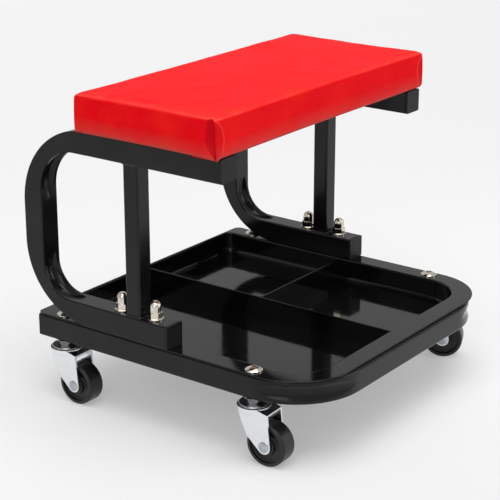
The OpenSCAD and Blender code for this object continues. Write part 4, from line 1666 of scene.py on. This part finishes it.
@dataclass
class Studio:
    """Pale floor, soft lamps and the camera.

    Attributes:
        camera_at: Place of the camera, in metres.
        camera_right: Unit vector to the right of the picture.
        camera_up: Unit vector to the top of the picture.
        lens_mm: Focal length.
        sensor_mm: Width of the sensor.
        sight: How far the camera sees, in metres.
        floor_half: Half of the floor's width, in metres.
        floor_grey: Linear grey of the floor.
        glow_way: Direction along which the floor's glow changes.
        glow_steps: Distance along it in metres, and the floor's glow there.
        sky_strength: Strength of the light from all round.
        lamps: The lamps.
    """

    camera_at: Point = (-1.3159, -0.9462, 0.7157)
    camera_right: Point = (0.59351, -0.80483, 0.0)
    camera_up: Point = (0.26438, 0.19496, 0.94451)
    lens_mm: float = 112.84
    sensor_mm: float = 36.0
    sight: float = 60.0
    floor_half: float = 9.0
    floor_grey: float = 0.58
    glow_way: Point = (0.657, 0.794, 0.0)
    glow_steps: tuple[tuple[float, float], ...] = (
        (-0.35, 0.22), (-0.1, 0.315), (0.2, 0.325), (0.8, 0.36), (1.7, 0.45), (3.2, 0.54))
    sky_strength: float = 0.62
    lamps: tuple[Lamp, ...] = (
        Lamp("overhead", (-0.25, -0.35, 1.75), (0, 0.05, 0.25), (1.5, 1.3), 18),
        Lamp("left_front", (-1.7, -0.5, 0.95), (0, 0, 0.2), (0.9, 0.9), 5),
        Lamp("right_front", (0.9, -1.6, 0.8), (0.05, -0.1, 0.15), (0.9, 0.8), 5))

    def camera(self) -> None:
        """Place the camera at the photo's angle."""
        data = bpy.data.cameras.new("camera")
        data.lens = self.lens_mm
        data.sensor_width = self.sensor_mm
        data.clip_end = self.sight
        camera = put_in_scene("camera", data)
        right, up = Vector(self.camera_right).normalized(), Vector(self.camera_up).normalized()
        turn = Matrix((right, up, right.cross(up))).transposed().to_4x4()
        camera.matrix_world = Matrix.Translation(self.camera_at) @ turn
        bpy.context.scene.camera = camera

    def floor(self) -> None:
        """Lay the pale floor, which looks white to the camera and keeps the shadow."""
        half = self.floor_half
        corners = [(-half, -half, 0), (half, -half, 0), (half, half, 0), (-half, half, 0)]
        mesh = bpy.data.meshes.new("floor")
        mesh.from_pydata(corners, [], [(0, 1, 2, 3)])
        mesh.materials.append(self.floor_material())
        put_in_scene("floor", mesh)

    def floor_material(self) -> bpy.types.Material:
        """Make the floor's paint, which glows where it is looked at.

        Returns:
            The material.
        """
        graph = ShaderGraph("pale_floor")
        grey = self.floor_grey
        graph.fixed(Base_Color=(grey, grey, grey, 1), Roughness=0.9, Specular_IOR_Level=0.1)
        glow = graph.add("ShaderNodeEmission", Strength=1.0)
        graph.join(self.glow_ramp(graph), "Color", glow, "Color")
        total = graph.add("ShaderNodeAddShader")
        graph.join(graph.shader, "BSDF", total, 0)
        graph.join(glow, "Emission", total, 1)
        choose = graph.add("ShaderNodeMixShader")
        graph.join(self.looking_rays(graph), "Value", choose, "Fac")
        graph.join(graph.shader, "BSDF", choose, 1)
        graph.join(total, "Shader", choose, 2)
        graph.join(choose, "Shader", graph.output, "Surface")
        return graph.material

    def glow_ramp(self, graph: ShaderGraph) -> bpy.types.Node:
        """Make the strength of the floor's glow, which changes along glow_way.

        Args:
            graph: Graph of the floor's material.

        Returns:
            The node that gives the glow, whose output is Color.
        """
        depth = graph.add("ShaderNodeVectorMath", operation="DOT_PRODUCT")
        depth.inputs[1].default_value = self.glow_way
        graph.join(graph.coordinates, "Object", depth, 0)
        near, far = self.glow_steps[0][0], self.glow_steps[-1][0]
        ramp = graph.add("ShaderNodeValToRGB")
        graph.join(graph.spread(depth, "Value", 0, 1, near, far), "Result", ramp, "Fac")
        stops = ramp.color_ramp.elements
        for at, _ in self.glow_steps[1:-1]:
            stops.new((at - near) / (far - near))
        for stop, (_, level) in zip(stops, self.glow_steps):
            stop.color = (level, level, level, 1)
        return ramp

    @staticmethod
    def looking_rays(graph: ShaderGraph) -> bpy.types.Node:
        """Pick out the rays that look at the floor, straight, through glass or by a reflection.

        Args:
            graph: Graph of the floor's material.

        Returns:
            The node that gives 1 for these rays, whose output is Value.
        """
        path = graph.add("ShaderNodeLightPath")
        straight = graph.add("ShaderNodeMath", operation="MAXIMUM")
        graph.join(path, "Is Camera Ray", straight, 0)
        graph.join(path, "Is Transmission Ray", straight, 1)
        looking = graph.add("ShaderNodeMath", operation="MAXIMUM")
        graph.join(straight, "Value", looking, 0)
        graph.join(path, "Is Glossy Ray", looking, 1)
        return looking

    def sky(self) -> None:
        """Surround the scene with soft light."""
        world = bpy.data.worlds.new("studio")
        world.use_nodes = True
        background = world.node_tree.nodes["Background"]
        background.inputs["Color"].default_value = (1, 1, 1, 1)
        background.inputs["Strength"].default_value = self.sky_strength
        bpy.context.scene.world = world

    def build(self) -> None:
        """Set the camera, the floor and the light."""
        self.camera()
        self.floor()
        self.sky()
        for lamp in self.lamps:
            lamp.hang()
        bpy.context.scene.view_settings.view_transform = "Standard"


def main() -> None:
    """Build every sub-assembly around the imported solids."""
    logging.basicConfig(level=logging.INFO, format="%(message)s")
    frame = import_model()
    maker = MeshMaker(frame, FinishShelf())
    Studio().build()
    SeatCushion().build(maker)
    SideFrames().build(maker)
    BaseAndTray().build(maker)
    Casters().build(maker)


if __name__ == "__main__":
    main()
